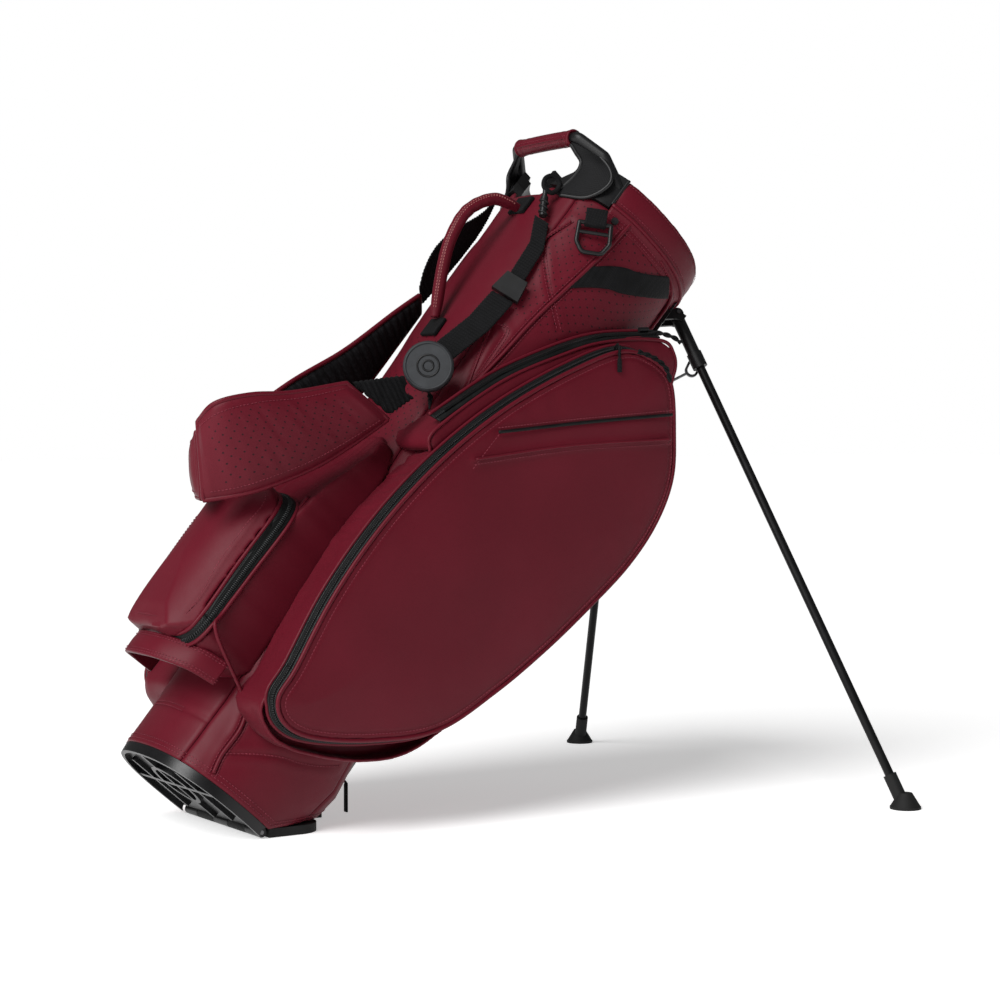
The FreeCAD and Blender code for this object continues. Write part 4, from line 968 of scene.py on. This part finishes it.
turned = high[:, :1] * (1 - across) + low[:, :1] * across
level = high[:, 1:] * (1 - across) + low[:, 1:] * across
ribbed = 3.2 + 0.28 * np.sin(shares * 95 * 2 * math.pi / 2.6)[:, None] * np.sin(across * math.pi) ** 0.3
elastic = shell("elastic_strap", skin(turned, level, ribbed), skin(turned, level, 1.2), ELASTIC)
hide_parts("elastic_band")


# ---------------------------------------------------------------- shoulder strap
CAMERA_SIDE = np.array([-0.43, -0.84, -0.33])
NEAR_PAD = [((-206, -100, 448), (-139, -100, 453)), ((-249, -97, 396), (-157, -97, 394)),
            ((-285, -94, 361), (-176, -94, 346)), ((-306, -82, 330), (-208, -82, 288)),
            ((-298, -52, 311), (-236, -52, 250))]
FAR_PAD = [((-284, -30, 308), (-231, -30, 256)), ((-268, 6, 314), (-224, 6, 266)),
           ((-248, 44, 324), (-209, 46, 298)), ((-224, 60, 372), (-160, 66, 352)),
           ((-197, 64, 462), (-118, 82, 446)), ((-167, 66, 540), (-108, 88, 530)),
           ((-144, 70, 622), (-107, 92, 612)), ((-131, 72, 664), (-108, 92, 656))]


def strap_pad(label, stations, thick, lining_to_camera, seed, node):
    """A foam pad: leather outside, ribbed mesh inside, and a bound edge all round."""
    flat = curve_through([list(a) + list(b) for a, b in stations], 2.6)
    top, low = flat[:, :3], flat[:, 3:]
    middle = (top + low) / 2
    ahead = np.gradient(middle, axis=0)
    face = unit(np.cross(ahead, top - low))
    if np.mean(face @ CAMERA_SIDE) < 0:
        face = -face
    count = 33
    share = np.linspace(-1, 1, count)
    run = run_along(middle)
    end = np.minimum(run, run[-1] - run)[:, None]
    ease = np.clip(end / 10, 0.15, 1) ** 0.5
    crown = (1 - np.abs(share) ** 2.6)[None, :] ** 0.55
    half = top[:, None] * (1 + share)[None, :, None] / 2 + low[:, None] * (1 - share)[None, :, None] / 2
    wide = np.linalg.norm(top - low, axis=1)[:, None] * share[None] / 2
    length = np.broadcast_to(run[:, None], wide.shape)
    puff = thick * 0.5 * crown * ease
    crease = 0.9 * noise2(length, wide, 30, seed) + 0.5 * noise2(length * 1.8, wide * 0.5, 14, seed + 1)
    leather_rise = puff + crease * crown * ease + 0.6
    rib = np.abs(np.sin(length * math.pi / 11.0)) ** 0.6
    inset = np.clip((1 - np.abs(share)) / 0.16, 0, 1)[None, :]
    lining_rise = puff * (0.55 + 0.45 * rib * inset) + 0.4
    sign = -1 if lining_to_camera else 1
    outside = half + face[:, None] * (sign * leather_rise)[:, :, None]
    inside = half - face[:, None] * (sign * lining_rise)[:, :, None]
    uv = np.stack([length, wide], -1)
    punched = ((np.abs(share)[None, :] < 0.72) & (end > 24)).astype(float) * np.ones_like(length)
    skin_side = shell(label + "_leather", outside, half, RED_HOLES, uv=uv, marks=punched)
    mesh_side = shell(label + "_lining", inside, half, LINING, uv=uv)
    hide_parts(node)
    rim = np.vstack([top, low[::-1]])
    tube(label + "_binding", even(rim, 3.0, closed=True), 3.0, RED_TRIM, closed=True)
    rows = []
    for k in (3, count - 4):
        rows.append((outside[:, k] + face * sign * 0.4)[6:-6])
    dashes(label + "_stitching", rows, THREAD_RED)


strap_pad("near_pad", NEAR_PAD, 15, False, 121, "near_shoulder_pad")
strap_pad("far_pad", FAR_PAD, 15, True, 131, "far_shoulder_pad")

yoke = soften("strap_yoke", "strap_yoke_neoprene", 1.4, NEOPRENE, smooth=5,
              push=lambda p, n: p + n * (0.7 * np.sin((p[:, 2] + p[:, 0] * 0.4) * 0.9))[:, None])


def ridged(points, normals):
    return points + normals * (0.35 * np.sin(points[:, 2] * 1.6))[:, None]


soften("near_webbing", "near_strap_webbing", 1.1, WEB, ridged, smooth=3)
loop = curve_through([(-127, -63, 832), (-131, -62, 841), (-141, -59, 841), (-146, -58, 832),
                      (-142, -60, 822), (-131, -63, 822)], 1.2, closed=True)
loop = tube("cuff_loop_webbing", loop, 3.0, WEB, closed=True, up=(0, -1, 0), sides=14)
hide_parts("cuff_strap_loop")
for k, height in enumerate((792, 799, 806)):
    spot = np.array([-125, -71, 788]) + (height - 788) / 24 * np.array([-9, 9, 24])
    ring = full_turn(24)
    tube(f"hook_ridge_{k}", spot + 5.2 * np.column_stack([np.cos(ring), np.sin(ring), 0.12 * np.cos(ring)]),
         1.3, METAL, closed=True)
soften("far_webbing", "far_strap_webbing", 1.2, WEB, ridged, smooth=3)

HUB_MIDDLE = np.array([-137.0, -97.0, 535.0])
HUB_OUT = unit(np.array([-0.50, -0.82, -0.28]))
hub_a = unit(np.cross(HUB_OUT, [0, 0, 1.0]))
hub_b = np.cross(hub_a, HUB_OUT)


def hub_circle(radius, height, count=72):
    turn = full_turn(count)
    spoke = np.cos(turn)[:, None] * hub_a + np.sin(turn)[:, None] * hub_b
    return HUB_MIDDLE + HUB_OUT * height + radius * spoke


HUB_RINGS = (    # name, radius, height, thickness, finish
    ("hub_rim_bead", 26.4, 8.2, 1.3, HUB), ("hub_mark_outer", 12.5, 8.3, 1.2, PLASTIC),
    ("hub_mark_inner", 6.0, 8.3, 1.2, PLASTIC), ("hub_gap_ring", 28.6, 0.2, 0.9, PLASTIC),
)
for name, radius, height, thickness, finish in HUB_RINGS:
    tube(name, hub_circle(radius, height), thickness, finish, closed=True, slot="strap_hub")


# ---------------------------------------------------------------- pulls
def cord_pull(name, node, body, radius):
    """A braided pull with a moulded end, along its CAD solid's long axis."""
    low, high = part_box(node)
    top = to_bag([[(low.x + high.x) / 2, (low.y + high.y) / 2, high.z - 0.0015]])[0]
    foot = to_bag([[(low.x + high.x) / 2, (low.y + high.y) / 2, low.z + 0.001]])[0]
    path = np.linspace(top, foot, 40)
    share = np.linspace(0, 1, 40)
    size = radius * np.where(share < 0.5, 0.62 + 0.07 * np.sin(share * 120),
                             1.0 - 0.25 * np.abs(share - 0.78))
    piece = tube(name, path, size, WEB, sides=14, body=body, slot="cord_pull")
    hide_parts(node)


cord_pull("near_zip_cord", "near_zip_pull", "near_pull", 2.7)


def braid(name, path, body):
    """A braided cord pull: two plies twisted round each other."""
    line = curve_through(path, 0.9)
    _, side_way, rise = frames_along(line, False)
    turn = np.linspace(0, len(line) * 0.26, len(line))[:, None]
    for k, phase in enumerate((0, math.pi)):
        ply = line + 1.5 * (side_way * np.cos(turn + phase) + rise * np.sin(turn + phase))
        tube(f"{name}_ply_{k}", ply, 1.6, WEB, body=body, slot="cord_pull", sides=8)


braid("side_zip_braid", [(28, -182, 704), (48, -186, 712), (68, -187, 714), (84, -187, 706)], "near_slider")
braid("valuables_braid", [(40, -152, 748), (49, -166, 752), (60, -173, 756), (72, -175, 758)],
      "valuables_slide")
soften("front_pull", "front_hanging_tab", 0.9, WEB, smooth=2, body="front_tab")
tube("front_tab_loop", curve_through([(109, -22, 120), (120, -22, 127), (131, -22, 126)], 1.0), 1.6, WEB,
     slot="cord_pull", sides=8)


# ---------------------------------------------------------------- stage
def area_light(name, place, size, power, aim=(0.45, 0, 0.42)):
    data = bpy.data.lights.new(name, "AREA")
    data.shape = "RECTANGLE"
    data.size, data.size_y = size
    data.energy = power
    light = bpy.data.objects.new(name, data)
    bpy.context.scene.collection.objects.link(light)
    light.location = place
    light.rotation_euler = (Vector(aim) - Vector(place)).to_track_quat("-Z", "Y").to_euler()


floor_mesh = bpy.data.meshes.new("floor")
floor_mesh.from_pydata([(-30, -30, 0), (30, -30, 0), (30, 30, 0), (-30, 30, 0)], [], [(0, 1, 2, 3)])
floor = bpy.data.objects.new("floor", floor_mesh)
bpy.context.scene.collection.objects.link(floor)
floor_material, _, floor_shader = new_material("pale_floor")
floor_shader.inputs["Base Color"].default_value = (0.93, 0.93, 0.93, 1)
floor_shader.inputs["Roughness"].default_value = 0.9
floor_shader.inputs["Emission Color"].default_value = (1, 1, 1, 1)
floor_shader.inputs["Emission Strength"].default_value = 0.42
floor_mesh.materials.append(floor_material)

world = bpy.data.worlds.new("studio")
world.use_nodes = True
sky, links = world.node_tree.nodes, world.node_tree.links
seen = sky.new("ShaderNodeBackground")
seen.inputs[0].default_value = (1, 1, 1, 1)
seen.inputs[1].default_value = 1.0
lit = sky["Background"]
lit.inputs[0].default_value = (1, 1, 1, 1)
lit.inputs[1].default_value = 0.13
pick, which = sky.new("ShaderNodeMixShader"), sky.new("ShaderNodeLightPath")
links.new(which.outputs["Is Camera Ray"], pick.inputs[0])
links.new(lit.outputs[0], pick.inputs[1])
links.new(seen.outputs[0], pick.inputs[2])
links.new(pick.outputs[0], sky["World Output"].inputs[0])
bpy.context.scene.world = world
sun = bpy.data.lights.new("key", "SUN")
sun.energy = 2.6
sun.angle = math.radians(35)
key = bpy.data.objects.new("key", sun)
key.rotation_euler = (Vector((0.86, 0.36, -0.9))).to_track_quat("-Z", "Y").to_euler()
bpy.context.scene.collection.objects.link(key)
area_light("left", (-2.2, -0.6, 1.3), (1.2, 1.4), 26)

azimuth, elevation = math.radians(-32.94), math.radians(1.75)
flat_reach = math.cos(elevation)
back = Vector((math.sin(azimuth) * flat_reach, -math.cos(azimuth) * flat_reach, math.sin(elevation)))
lens = bpy.data.cameras.new("camera")
lens.lens = 80.07
lens.sensor_width = 36.0
camera = bpy.data.objects.new("camera", lens)
camera.location = (-1.143, -2.282, 0.447)
camera.rotation_euler = (-back).to_track_quat("-Z", "Y").to_euler()
bpy.context.scene.collection.objects.link(camera)
bpy.context.scene.camera = camera
bpy.context.scene.view_settings.view_transform = "Standard"
